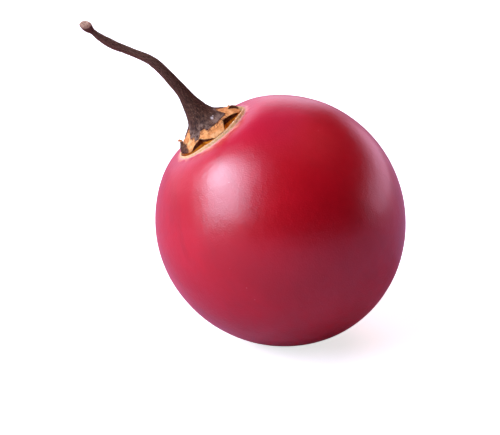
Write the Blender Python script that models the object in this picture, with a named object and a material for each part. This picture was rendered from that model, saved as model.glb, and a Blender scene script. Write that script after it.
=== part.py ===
"""A whole tamarillo with its stalk and calyx, at rest on the small flat spot on its side.

Lengths are in metres and +Z is up. The origin is the middle of the flat spot that the fruit rests on.
The fruit's own axis runs from its blossom end to its stalk, and leans towards -X. The shapes are made
in the fruit's own frame, whose +Z is that axis and whose +X is the side that is turned up.
"""

import math

import bmesh
import bpy
from mathutils import Matrix, Vector

MM = 0.001

# The fruit, measured along its own axis from the plane where it is widest
FRUIT_RADIUS = 26.0 * MM
STEM_HALF = 26.3 * MM
BLOSSOM_HALF = 27.1 * MM
LEAN = math.radians(36.0)

# The flattened shoulder round the calyx, and the corky lip that stands on it
SHOULDER_HEIGHT = 23.55 * MM
SHOULDER_BLEND = 1.0 * MM
LIP_RADIUS = 8.1 * MM
LIP_WIDTH = 0.42 * MM
LIP_RISE = 0.35 * MM
CUP_DEPTH = 0.9 * MM
CUP_EDGE = 0.6 * MM

# The point left by the flower at the other end
TIP_RISE = 0.7 * MM
TIP_RADIUS = 1.9 * MM

# The fruit is a little out of round: a broad oval and five soft shoulders near the stalk
OVAL_SHARE = 0.004
SHOULDER_SHARE = 0.005
SHOULDERS = 5

# The flat spot that the fruit rests on
SPOT_RADIUS = 5.5 * MM

# The calyx's outside: (height above the lip, distance from the axis) in millimetres
FLARE_PROFILE = (
    (0.0, 7.75),
    (0.6, 7.4),
    (1.3, 6.75),
    (2.05, 5.65),
    (2.9, 4.3),
    (4.2, 2.9),
    (6.0, 2.08),
    (8.1, 1.53),
    (10.5, 1.22),
)
NECK_HEIGHT = 10.5 * MM

# The calyx's edge comes down in five lobes, with an arch between each lobe and the next
LOBE_MIDDLES = (-158.0, -90.0, -14.0, 58.0, 130.0)
ARCH_HEIGHTS = (1.4 * MM, 1.55 * MM, 1.2 * MM, 1.4 * MM, 1.25 * MM)
LOBE_TIP_HEIGHT = 0.3 * MM
ARCH_SHARPNESS = 1.3
LOBE_SWELL = 0.25 * MM
CALYX_WALL = 0.5 * MM
FOOT_RADIUS = 4.6 * MM
FOOT_HEIGHT = -0.85 * MM

# The bark ends in rounded tongues on the flare, a step above the cork under it:
# each has the angle of its middle, how far down it reaches, and its half width
BARK_STEP = 0.16 * MM
BARK_EDGE = 3.2 * MM
BARK_TONGUES = (
    (-132.0, 1.5 * MM, 15.0),
    (-80.0, 1.2 * MM, 30.0),
    (-18.0, 0.7 * MM, 18.0),
    (34.0, 1.4 * MM, 22.0),
    (86.0, 1.0 * MM, 16.0),
    (158.0, 1.3 * MM, 24.0),
)
FLARE_GROOVES = 12
GROOVE_DEPTH = 0.1 * MM

# The stalk's middle line, from inside the fruit's lip to past its broken end, in millimetres
STALK_ROUTE = (
    (0.0, 0.0, -3.0),
    (0.0, 0.0, 0.0),
    (0.05, 0.0, 3.5),
    (0.1, 0.0, 7.5),
    (0.2, 0.1, 10.3),
    (0.0, 0.3, 12.8),
    (-0.3, 0.5, 15.5),
    (-0.8, 0.8, 18.3),
    (-1.5, 1.0, 20.2),
    (-2.7, 1.2, 22.2),
    (-4.1, 1.3, 24.4),
    (-5.5, 1.2, 26.8),
    (-6.6, 1.0, 29.5),
    (-7.1, 0.8, 31.5),
    (-7.4, 0.6, 33.3),
    (-7.6, 0.5, 35.2),
    (-7.7, 0.4, 37.5),
)

# The stalk's radius along its middle line: (distance from the lip's plane, radius) in millimetres
STALK_GIRTH = (
    (10.5, 1.22),
    (13.1, 1.15),
    (15.8, 1.03),
    (18.8, 0.97),
    (20.8, 0.87),
    (23.2, 0.80),
    (25.8, 0.80),
    (28.6, 0.87),
    (31.4, 0.70),
    (33.2, 0.57),
    (34.3, 0.84),
    (35.3, 1.0),
    (36.2, 0.92),
    (36.6, 0.55),
)
STALK_RIDGES = 7
RIDGE_SHARE = 0.05
RIDGE_TWIST = math.radians(150)

# The stalk is broken off on a slant, with the break facing this way
BREAK_START = 34.3 * MM
BREAK_SLANT = 0.7
BREAK_FACING = Vector((0.6, -0.75, 0.3))

# How finely the solids are divided
FRUIT_SEGMENTS = 72
FRUIT_BELLY_RINGS = 13
BLOSSOM_RINGS = 16
AROUND = 60
FLARE_RINGS = 16
STALK_RINGS = 30
ROUTE_STEPS = 10
CUT_TOLERANCE = 0.001 * MM

FRUIT_COLOUR = (0.42, 0.015, 0.05, 1.0)
STALK_COLOUR = (0.075, 0.045, 0.038, 1.0)


def smooth_step(value):
    """0 below 0, 1 above 1, and a smooth rise between."""
    clipped = min(1.0, max(0.0, value))
    return clipped * clipped * (3 - 2 * clipped)


def bell(offset, width):
    """1 at no offset, falling smoothly to nothing a few widths away."""
    return math.exp(-((offset / width) ** 2))


def mixed(low, high, share):
    """The value that lies this share of the way from low to high."""
    return low + (high - low) * share


def around_axis(angle, radius, height):
    """The point at this angle, distance from the axis and height."""
    return Vector((radius * math.cos(angle), radius * math.sin(angle), height))


def hermite(start, end, tangent_in, tangent_out, share):
    """A value or point on the smooth curve that leaves start and reaches end with these tangents."""
    square = share * share
    cube = square * share
    return (
        start * (2 * cube - 3 * square + 1)
        + tangent_in * (cube - 2 * square + share)
        + end * (3 * square - 2 * cube)
        + tangent_out * (cube - square)
    )


def looked_up(pairs, position):
    """The value at this position on the smooth curve through (position, value) pairs."""
    position = min(pairs[-1][0], max(pairs[0][0], position))
    last = len(pairs) - 1
    index = next(place for place in range(last) if position <= pairs[place + 1][0])
    (low, start), (high, end) = pairs[index], pairs[index + 1]
    slopes = []
    for place in (index, index + 1):
        before, after = pairs[max(0, place - 1)], pairs[min(last, place + 1)]
        slopes.append((after[1] - before[1]) / (after[0] - before[0]) * (high - low))
    return hermite(start, end, slopes[0], slopes[1], (position - low) / (high - low))


def stem_side_height(radius):
    """Height of the fruit's stem side at this distance from its axis, before the lip and cup."""
    dome = STEM_HALF * math.sqrt(max(0.0, 1 - (radius / FRUIT_RADIUS) ** 2))
    gap = dome - SHOULDER_HEIGHT
    return 0.5 * (dome + SHOULDER_HEIGHT - math.sqrt(gap * gap + SHOULDER_BLEND**2))


LIP_HEIGHT = stem_side_height(LIP_RADIUS) + LIP_RISE


def finished_height(radius):
    """Height of the stem side with its lip and cup."""
    height = stem_side_height(radius)
    height += LIP_RISE * bell(radius - LIP_RADIUS, LIP_WIDTH)
    return height - CUP_DEPTH * smooth_step((LIP_RADIUS - radius) / CUP_EDGE)


def stem_profile():
    """(distance from the axis, height) down the stem side, from the cup's middle to the widest plane."""
    near_lip = (1.8, 1.25, 0.85, 0.5, 0.2, -0.15, -0.5, -0.9, -1.4, -2.2)
    radii = [share * LIP_RADIUS for share in (0.0, 0.35, 0.65)]
    radii += [LIP_RADIUS - offset * MM for offset in near_lip]
    start = math.asin(radii[-1] / FRUIT_RADIUS)
    for ring in range(1, FRUIT_BELLY_RINGS + 1):
        angle = mixed(start, math.pi / 2, ring / FRUIT_BELLY_RINGS)
        radii.append(FRUIT_RADIUS * math.sin(angle))
    return [(radius, finished_height(radius)) for radius in radii]


def blossom_profile():
    """(distance from the axis, height) from below the widest plane to the blossom end's point."""
    radii = [FRUIT_RADIUS * math.cos(math.pi / 2 * ring / BLOSSOM_RINGS) for ring in range(1, BLOSSOM_RINGS)]
    radii += [share * TIP_RADIUS for share in (0.8, 0.4, 0.0)]
    profile = []
    for radius in radii:
        height = -BLOSSOM_HALF * math.sqrt(1 - (radius / FRUIT_RADIUS) ** 2)
        profile.append((radius, height - TIP_RISE * bell(radius, TIP_RADIUS)))
    return profile


def roundness(angle, height):
    """How much further out than a true circle the skin lies at this angle and height."""
    oval = OVAL_SHARE * math.cos(2 * angle + 0.7)
    near_stem = smooth_step(height / SHOULDER_HEIGHT)
    return 1 + oval + SHOULDER_SHARE * near_stem * math.cos(SHOULDERS * angle)


def lathe(profile, segments):
    """A closed bmesh turned round Z from (radius, height) pairs whose first and last lie on the axis."""
    shape = bmesh.new()
    rings = []
    for radius, height in profile:
        if radius == 0:
            rings.append([shape.verts.new((0, 0, height))])
            continue
        past_lip = smooth_step(radius / LIP_RADIUS - 1)
        ring = []
        for step in range(segments):
            angle = math.tau * step / segments
            out = radius * mixed(1.0, roundness(angle, height), past_lip)
            ring.append(shape.verts.new(around_axis(angle, out, height)))
        rings.append(ring)
    join_rings(shape, rings, segments)
    return shape


def join_rings(shape, rings, segments):
    """Faces between each ring of vertices and the next. A ring of one vertex closes an end."""
    for upper, lower in zip(rings, rings[1:]):
        for step in range(segments):
            following = (step + 1) % segments
            if len(upper) == 1:
                shape.faces.new((upper[0], lower[step], lower[following]))
            elif len(lower) == 1:
                shape.faces.new((upper[step], lower[0], upper[following]))
            else:
                shape.faces.new((upper[step], lower[step], lower[following], upper[following]))


def smooth_outwards(shape):
    """Turns the faces outwards and shades them smooth."""
    bmesh.ops.recalc_face_normals(shape, faces=shape.faces)
    for face in shape.faces:
        face.smooth = True


def coloured(name, colour, roughness):
    """A plain material of this colour."""
    material = bpy.data.materials.new(name)
    material.use_nodes = True
    shader = material.node_tree.nodes["Principled BSDF"]
    shader.inputs["Base Color"].default_value = colour
    shader.inputs["Roughness"].default_value = roughness
    shader.inputs["Metallic"].default_value = 0.0
    return material


def new_object(name, shape, material, collection, parent):
    """A mesh object made from a bmesh, under the parent that places it."""
    mesh = bpy.data.meshes.new(name)
    shape.to_mesh(mesh)
    shape.free()
    mesh.materials.append(material)
    made = bpy.data.objects.new(name, mesh)
    collection.objects.link(made)
    made.parent = parent
    return made


def resting_place():
    """Where the fruit's own frame stands, so that the middle of its flat spot is at the origin."""
    reach = math.hypot(FRUIT_RADIUS * math.sin(LEAN), BLOSSOM_HALF * math.cos(LEAN))
    lowest = Vector((-FRUIT_RADIUS**2 * math.sin(LEAN), 0, -BLOSSOM_HALF**2 * math.cos(LEAN))) / reach
    turn = Matrix.Rotation(-LEAN, 4, "Y")
    spot_depth = SPOT_RADIUS**2 / (FRUIT_RADIUS + BLOSSOM_HALF)
    return Matrix.Translation(Vector((0, 0, -spot_depth)) - turn @ lowest) @ turn


def cut_resting_spot(shape, place):
    """Cuts the fruit level with the surface that it rests on, at Z = 0, and closes the cut."""
    to_fruit = place.inverted()
    cut = bmesh.ops.bisect_plane(
        shape,
        geom=[*shape.verts, *shape.edges, *shape.faces],
        dist=CUT_TOLERANCE,
        plane_co=to_fruit @ Vector(),
        plane_no=to_fruit.to_3x3() @ Vector((0, 0, 1)),
        clear_inner=True,
    )
    rim = [part for part in cut["geom_cut"] if isinstance(part, bmesh.types.BMEdge)]
    for face in bmesh.ops.edgeloop_fill(shape, edges=rim)["faces"]:
        face.smooth = False
    for edge in rim:
        edge.smooth = False


def make_fruit(collection, axis_frame):
    """The fruit: its skin, shoulder, lip, cup, blossom point and flat spot in one solid."""
    shape = lathe(stem_profile() + blossom_profile(), FRUIT_SEGMENTS)
    smooth_outwards(shape)
    cut_resting_spot(shape, resting_place())
    bmesh.ops.recalc_face_normals(shape, faces=shape.faces)
    return new_object("fruit", shape, coloured("skin", FRUIT_COLOUR, 0.3), collection, axis_frame)


def stalk_line():
    """Closely spaced (distance from the lip's plane, point) pairs along the stalk's middle line."""
    route = [Vector(point) * MM for point in STALK_ROUTE]
    line = []
    travelled = 0.0
    for before, start, end, after in zip(route, route[1:], route[2:], route[3:]):
        for step in range(ROUTE_STEPS):
            point = hermite(start, end, (end - before) / 2, (after - start) / 2, step / ROUTE_STEPS)
            if line:
                travelled += (point - line[-1][1]).length
            line.append((travelled, point))
    return line


def along(line, distance):
    """(point, direction) of the middle line this far from the lip's plane, past its end in a straight run."""
    for (low, start), (high, end) in zip(line, line[1:]):
        if distance <= high:
            break
    direction = (end - start).normalized()
    return start + direction * (distance - low), direction


def gap_between_lobes(angle):
    """(which arch, how far across it from 0 to 1) at this angle round the calyx."""
    turned = (math.degrees(angle) - LOBE_MIDDLES[0]) % 360
    ends = [middle - LOBE_MIDDLES[0] for middle in LOBE_MIDDLES[1:]] + [360.0]
    arch = next(place for place, end in enumerate(ends) if turned <= end)
    start = ends[arch - 1] if arch else 0.0
    return arch, (turned - start) / (ends[arch] - start)


def arch_share(angle):
    """0 in the middle of a calyx lobe and 1 in the middle of the arch between two lobes."""
    across = gap_between_lobes(angle)[1]
    return (0.5 - 0.5 * math.cos(math.tau * across)) ** ARCH_SHARPNESS


def margin_height(angle):
    """Height of the calyx's edge: low at the lobes' tips and arched between them."""
    arch = gap_between_lobes(angle)[0]
    return mixed(LOBE_TIP_HEIGHT, ARCH_HEIGHTS[arch], arch_share(angle))


def bark_edge_height(angle):
    """Height of the bark's lower edge at this angle, with its tongues."""
    reach = 0.0
    for middle, depth, half_width in BARK_TONGUES:
        offset = (math.degrees(angle) - middle + 180) % 360 - 180
        reach = max(reach, depth * (1 - smooth_step(abs(offset) / half_width)))
    return BARK_EDGE - reach


def calyx_radius(angle, height):
    """Radius of the calyx's outside, with its lobes, grooves and bark."""
    radius = looked_up(FLARE_PROFILE, height / MM) * MM
    radius += LOBE_SWELL * (0.4 - arch_share(angle)) * bell(height - 1.2 * MM, 1.8 * MM)
    on_bark = smooth_step((height - bark_edge_height(angle)) / (0.25 * MM))
    radius += BARK_STEP * on_bark * smooth_step((NECK_HEIGHT - height) / (4 * MM))
    mid_flare = bell(height - 4.5 * MM, 2.6 * MM)
    return radius - GROOVE_DEPTH * mid_flare * (0.5 + 0.5 * math.cos(FLARE_GROOVES * angle))


def under_rings(shape, angles):
    """Rings from the middle of the calyx's foot, out and up to just under its edge."""
    foot = ((0.55, 0.0), (1.0, 0.03 * MM), (1.1, 0.3 * MM))
    rings = [[shape.verts.new((0, 0, FOOT_HEIGHT))]]
    for spread, rise in foot:
        points = [around_axis(angle, FOOT_RADIUS * spread, FOOT_HEIGHT + rise) for angle in angles]
        rings.append([shape.verts.new(point) for point in points])
    start_radius, start_height = FOOT_RADIUS * foot[-1][0], FOOT_HEIGHT + foot[-1][1]
    for share in (0.5, 1.0):
        ring = []
        for angle in angles:
            edge = margin_height(angle)
            radius = mixed(start_radius, calyx_radius(angle, edge) - 0.3 * CALYX_WALL, share)
            height = mixed(start_height, edge - 0.7 * CALYX_WALL, share**0.8)
            ring.append(shape.verts.new(around_axis(angle, radius, height)))
        rings.append(ring)
    return rings


def flare_rings(shape, angles, line):
    """Rings of the calyx's outside, from its edge up the flare to the neck."""
    rings = []
    for step in range(FLARE_RINGS + 1):
        share = (step / FLARE_RINGS) ** 1.25
        ring = []
        for angle in angles:
            height = mixed(margin_height(angle), NECK_HEIGHT, share)
            centre = along(line, height)[0]
            sideways = Vector((centre.x, centre.y, 0)) * smooth_step(height / (2 * MM))
            point = sideways + around_axis(angle, calyx_radius(angle, height), height)
            ring.append(shape.verts.new(point))
        rings.append(ring)
    return rings


def stalk_rings(shape, angles, line):
    """Rings of the stalk above the neck, and the point that closes its slanted, broken end."""
    end = STALK_GIRTH[-1][0] * MM
    rings = []
    side = Vector((1, 0, 0))
    for step in range(1, STALK_RINGS + 1):
        share = step / STALK_RINGS
        distance = mixed(NECK_HEIGHT, end, 1 - (1 - share) ** 1.35)
        centre, direction = along(line, distance)
        side = (side - direction * side.dot(direction)).normalized()
        other = direction.cross(side)
        radius = looked_up(STALK_GIRTH, distance / MM) * MM
        slant = BREAK_SLANT * smooth_step((distance - BREAK_START) / (end - BREAK_START))
        ring = []
        for angle in angles:
            wave = math.cos(STALK_RIDGES * angle + RIDGE_TWIST * share)
            out = (side * math.cos(angle) + other * math.sin(angle)) * radius
            out *= 1 + RIDGE_SHARE * wave * smooth_step(3 * share)
            ring.append(shape.verts.new(centre + out - direction * slant * out.dot(BREAK_FACING)))
        rings.append(ring)
    rings.append([shape.verts.new(centre)])
    return rings


def make_stalk(collection, axis_frame):
    """The stalk with its calyx: one woody solid, seated in the fruit's cup."""
    shape = bmesh.new()
    line = stalk_line()
    angles = [math.tau * step / AROUND for step in range(AROUND)]
    rings = under_rings(shape, angles) + flare_rings(shape, angles, line) + stalk_rings(shape, angles, line)
    join_rings(shape, rings, AROUND)
    smooth_outwards(shape)
    bark = coloured("bark", STALK_COLOUR, 0.75)
    stalk = new_object("stalk_with_calyx", shape, bark, collection, axis_frame)
    stalk.location = (0, 0, LIP_HEIGHT)
    return stalk


def build():
    """Clears the scene and models the tamarillo."""
    for leftover in list(bpy.data.objects):
        bpy.data.objects.remove(leftover)
    collection = bpy.data.collections.new("tamarillo")
    bpy.context.scene.collection.children.link(collection)
    axis_frame = bpy.data.objects.new("fruit_axis", None)
    collection.objects.link(axis_frame)
    axis_frame.matrix_world = resting_place()
    make_fruit(collection, axis_frame)
    make_stalk(collection, axis_frame)


build()
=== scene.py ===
"""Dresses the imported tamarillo: waxy crimson skin, corky lip, torn calyx, ridged bark and a broken stalk end.

Lengths inside the classes of the fruit, the stalk and its scraps are in millimetres. The fruit's are in its
own frame, whose +Z is the fruit's axis towards the stalk, and the others are from the middle of the lip. The
meshes are moved to the row's frame, in metres, when they are made. The studio's sizes are in metres.
"""

from __future__ import annotations

import logging
import math
from dataclasses import dataclass, field
from enum import Enum
from itertools import product

import bpy
import numpy as np
from mathutils import Matrix, Vector


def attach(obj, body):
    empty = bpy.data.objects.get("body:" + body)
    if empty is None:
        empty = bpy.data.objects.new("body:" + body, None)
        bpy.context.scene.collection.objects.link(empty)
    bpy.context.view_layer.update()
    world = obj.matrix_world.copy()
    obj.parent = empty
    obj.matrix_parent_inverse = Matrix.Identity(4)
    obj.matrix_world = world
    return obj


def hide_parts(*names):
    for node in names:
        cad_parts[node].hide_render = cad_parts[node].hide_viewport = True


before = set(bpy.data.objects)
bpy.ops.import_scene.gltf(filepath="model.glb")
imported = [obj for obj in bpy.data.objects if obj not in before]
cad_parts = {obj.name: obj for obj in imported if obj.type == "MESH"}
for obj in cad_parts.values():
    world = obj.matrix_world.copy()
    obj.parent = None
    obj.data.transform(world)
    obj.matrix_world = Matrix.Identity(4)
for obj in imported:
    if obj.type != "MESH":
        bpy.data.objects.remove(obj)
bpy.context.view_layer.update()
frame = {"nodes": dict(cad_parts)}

BODY = "root"
MM = 0.001
NOISE_RADIUS = 3.0
BARK_MASKS = ("bark", "dark", "under", "broken", "pit", "fleck")
Colour = tuple[float, float, float]
Pair = tuple[float, float]
Triple = tuple[float, float, float]
Number = np.ndarray | float
Attributes = dict[str, np.ndarray]
Socket = bpy.types.NodeSocket
Feed = Socket | Colour | float

log = logging.getLogger("tamarillo")


def smooth_step(value: Number) -> Number:
    """0 below 0, 1 above 1, and a smooth rise between."""
    clipped = np.clip(value, 0.0, 1.0)
    return clipped * clipped * (3 - 2 * clipped)


def bell(offset: Number, width: float) -> Number:
    """1 at no offset, falling smoothly to nothing a few widths away."""
    return np.exp(-((offset / width) ** 2))


def mixed(low: Number, high: Number, share: Number) -> Number:
    """The value that lies this share of the way from low to high."""
    return low + (high - low) * share


def degrees_from(angle: np.ndarray, middle: float) -> np.ndarray:
    """How far angles in radians lie from a middle in degrees, from -180 to 180 degrees."""
    return (np.degrees(angle) - middle + 180) % 360 - 180


def eased(start: Number, leaving: Number, end: Number, arriving: Number, share: Number) -> Number:
    """Goes smoothly from one value to another.

    Args:
        start: the value where the share is 0.
        leaving: the slope there.
        end: the value where the share is 1.
        arriving: the slope there.
        share: how far along to read the value.

    Returns:
        The value at each share.
    """
    square, cube = share**2, share**3
    return (
        start * (2 * cube - 3 * square + 1)
        + leaving * (cube - 2 * square + share)
        + end * (3 * square - 2 * cube)
        + arriving * (cube - square)
    )


def smooth_curve(pairs: tuple[Pair, ...], positions: np.ndarray) -> np.ndarray:
    """Reads a smooth curve through (position, value) pairs.

    Args:
        pairs: the pairs, in the order of their positions.
        positions: where to read the curve, held within the pairs' range.

    Returns:
        The curve's value at each position.
    """
    places = np.array([pair[0] for pair in pairs])
    values = np.array([pair[1] for pair in pairs])
    last = len(pairs) - 1
    ahead = np.minimum(np.arange(last + 1) + 1, last)
    behind = np.maximum(np.arange(last + 1) - 1, 0)
    slopes = (values[ahead] - values[behind]) / (places[ahead] - places[behind])
    held = np.clip(positions, places[0], places[-1])
    index = np.clip(np.searchsorted(places, held, side="right") - 1, 0, last - 1)
    span = places[index + 1] - places[index]
    share = (held - places[index]) / span
    return eased(values[index], slopes[index] * span, values[index + 1], slopes[index + 1] * span, share)


def round_axis(angle: np.ndarray, radius: Number, height: Number = 0.0) -> np.ndarray:
    """Points at this distance from the axis."""
    return np.stack([radius * np.cos(angle), radius * np.sin(angle), height + 0 * angle], axis=-1)


def unit(vectors: np.ndarray) -> np.ndarray:
    """The vectors at a length of 1."""
    return vectors / np.linalg.norm(vectors, axis=-1, keepdims=True)


@dataclass(frozen=True)
class Wave:
    """A use of unevenness: its height, its features in a unit, where it is read and its number of layers."""

    height: float
    scale: float
    shift: float = 0.0
    layers: int = 1


class Unevenness:
    """Smooth random values in space, the same on every run."""

    LATTICE = 48
    LAYER_SHIFT = 7.3

    def __init__(self, seed: int) -> None:
        """Draws the values at the lattice's corners."""
        self.corners = np.random.default_rng(seed).random((self.LATTICE,) * 3)

    def at(self, places: np.ndarray) -> np.ndarray:
        """Reads the field.

        Args:
            places: points as an array whose last axis holds three coordinates, one lattice cell a unit.

        Returns:
            A value from -1 to 1 for each point.
        """
        base = np.floor(places).astype(int)
        part = smooth_step(places - base)
        total = np.zeros(places.shape[:-1])
        for corner in product((0, 1), repeat=3):
            weight = np.prod(np.where(corner, part, 1 - part), axis=-1)
            cell = (base + corner) % self.LATTICE
            total += weight * self.corners[cell[..., 0], cell[..., 1], cell[..., 2]]
        return 2 * total - 1

    def wave(self, places: np.ndarray, wave: Wave) -> np.ndarray:
        """Reads finer and finer layers of the field, each at half the strength of the last.

        Args:
            places: points as an array whose last axis holds three coordinates.
            wave: the height, scale, shift and number of layers.

        Returns:
            A value for each point, from minus the wave's height to the height.
        """
        start = places * wave.scale + wave.shift
        layers = range(wave.layers)
        total = sum(self.at(start * 2**layer + self.LAYER_SHIFT * layer) / 2**layer for layer in layers)
        return wave.height * (total / (2 - 2 ** (1 - wave.layers)))


def grid_mesh(
    name: str,
    rings: np.ndarray,
    ends: tuple[np.ndarray, np.ndarray],
    attributes: Attributes,
) -> bpy.types.Object:
    """Makes a smooth mesh of rings that close on themselves.

    Args:
        name: the object's name.
        rings: points as an array of (ring, step round the ring, coordinate), in metres.
        ends: the point that closes the first ring and the one that closes the last.
        attributes: for each attribute's name, its value at each of the rings' points.

    Returns:
        The new object, linked to the scene.
    """
    count, around = rings.shape[:2]
    index = np.arange(count * around).reshape(count, around)
    turned = np.roll(index, -1, axis=1)
    quads = np.stack([index[:-1], index[1:], turned[1:], turned[:-1]], axis=-1).reshape(-1, 4)
    tips = (count * around, count * around + 1)
    first = np.stack([turned[0], index[0], np.full(around, tips[0])], axis=-1)
    last = np.stack([np.full(around, tips[1]), index[-1], turned[-1]], axis=-1)
    faces = quads.tolist() + first.tolist() + last.tolist()
    points = np.concatenate([rings.reshape(-1, 3), *(end.reshape(1, 3) for end in ends)])
    mesh = bpy.data.meshes.new(name)
    mesh.from_pydata(points.tolist(), [], faces)
    for label, values in attributes.items():
        flat = values.reshape(count * around, -1)
        whole = np.concatenate([flat, flat[:1], flat[-around:][:1]])
        kind, slot = ("FLOAT_VECTOR", "vector") if whole.shape[1] == 3 else ("FLOAT", "value")
        layer = mesh.attributes.new(label, kind, "POINT")
        layer.data.foreach_set(slot, whole.ravel().astype(np.float32))
    mesh.polygons.foreach_set("use_smooth", [True] * len(mesh.polygons))
    mesh.validate()
    made = bpy.data.objects.new(name, mesh)
    bpy.context.scene.collection.objects.link(made)
    return made


def moved(matrix: Matrix, points: np.ndarray) -> np.ndarray:
    """Points in the fruit's own frame, in millimetres, as points in the row's frame, in metres."""
    turn = np.array(matrix.to_3x3())
    return points * MM @ turn.T + np.array(matrix.translation)


def bark_attributes(shape: tuple[int, ...], **given: Number) -> Attributes:
    """Every mask that the bark's finish reads, 0 unless it is given, and the other attributes given."""
    masks = {name: np.zeros(shape) + given.pop(name, 0.0) for name in BARK_MASKS}
    return masks | given


class Desk:
    """Lays out shader nodes in a material, a group or the world, from left to right."""

    COLUMN = 190
    FIRST_NUMBER = 2
    SECOND_NUMBER = 3
    FIRST_COLOUR = 6
    SECOND_COLOUR = 7
    MIXED_COLOUR = 2

    def __init__(self, tree: bpy.types.NodeTree) -> None:
        """Starts with the tree's own nodes removed."""
        self.tree = tree
        self.tree.nodes.clear()

    def node(
        self,
        kind: str,
        inputs: dict[str | int, Feed] | None = None,
        **settings: object,
    ) -> bpy.types.Node:
        """Adds a node.

        Args:
            kind: the node's type, without the leading ShaderNode.
            inputs: for each socket's name or number, a value or the output that feeds it.
            settings: the node's own properties.

        Returns:
            The new node.
        """
        made = self.tree.nodes.new("ShaderNode" + kind)
        made.location.x = self.COLUMN * len(self.tree.nodes)
        for key, value in settings.items():
            setattr(made, key, value)
        for key, value in (inputs or {}).items():
            self.feed(made.inputs[key], value)
        return made

    def feed(self, socket: Socket, value: Feed) -> None:
        """Links an output to the socket, or sets the socket's own value.

        Args:
            socket: the input that is fed.
            value: an output, a colour or a number.
        """
        if isinstance(value, bpy.types.NodeSocket):
            self.tree.links.new(value, socket)
        elif socket.type == "RGBA" and len(value) == 3:
            socket.default_value = (*value, 1.0)
        else:
            socket.default_value = value

    def attribute(self, name: str) -> Socket:
        """The value of a mesh attribute."""
        return self.node("Attribute", attribute_name=name).outputs["Fac"]

    def place(self, name: str) -> Socket:
        """The coordinates held in a mesh attribute."""
        return self.node("Attribute", attribute_name=name).outputs["Vector"]

    def math(self, operation: str, first: Feed, second: Feed = 0.0) -> Socket:
        """One sum on one or two numbers."""
        return self.node("Math", {0: first, 1: second}, operation=operation).outputs[0]

    def times(self, first: Feed, second: Feed) -> Socket:
        """The first number times the second."""
        return self.math("MULTIPLY", first, second)

    def noise(self, place: Socket, scale: float, detail: float = 3.0, roughness: float = 0.5) -> Socket:
        """Smooth noise from 0 to 1 at a number of features a unit."""
        settings = {"Vector": place, "Scale": scale, "Detail": detail, "Roughness": roughness}
        return self.node("TexNoise", settings).outputs["Fac"]

    def wander(self, place: Socket, scale: float, reach: float, roughness: float = 0.5) -> Socket:
        """Smooth noise that wanders to both sides of 0, with this reach between its ends."""
        centred = self.math("SUBTRACT", self.noise(place, scale, detail=4.0, roughness=roughness), 0.5)
        return self.times(centred, reach)

    def between(self, value: Feed, low: float, high: float) -> Socket:
        """A smooth rise from 0 where the value is low to 1 where it is high."""
        inputs = {"Value": value, "From Min": low, "From Max": high}
        return self.node("MapRange", inputs, interpolation_type="SMOOTHSTEP").outputs["Result"]

    def blend(self, share: Feed, first: Feed, second: Feed) -> Socket:
        """Turns one colour into another.

        Args:
            share: how much of the second colour there is, from 0 to 1.
            first: the colour where the share is 0.
            second: the colour where the share is 1.

        Returns:
            The mixed colour.
        """
        made = self.node("Mix", {"Factor": share}, data_type="RGBA")
        self.feed(made.inputs[self.FIRST_COLOUR], first)
        self.feed(made.inputs[self.SECOND_COLOUR], second)
        return made.outputs[self.MIXED_COLOUR]

    def group(self, tree: bpy.types.NodeTree, **inputs: Feed) -> bpy.types.Node:
        """Places a node group.

        Args:
            tree: the group.
            inputs: a value or an output for each input, with underscores in the names read as spaces.

        Returns:
            The group's node.
        """
        made = self.node("Group", node_tree=tree)
        for key, value in inputs.items():
            self.feed(made.inputs[key.replace("_", " ")], value)
        return made


def new_group(name: str, inputs: dict[str, str], outputs: dict[str, str]) -> tuple[bpy.types.NodeTree, Desk]:
    """Starts a shader node group.

    Args:
        name: the group's name.
        inputs: each input's name with the kind of its socket.
        outputs: each output's name with the kind of its socket.

    Returns:
        The group and the desk to lay out its nodes.
    """
    tree = bpy.data.node_groups.new(name, "ShaderNodeTree")
    for way, sockets in (("INPUT", inputs), ("OUTPUT", outputs)):
        for label, kind in sockets.items():
            tree.interface.new_socket(label, in_out=way, socket_type="NodeSocket" + kind)
    return tree, Desk(tree)


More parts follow.
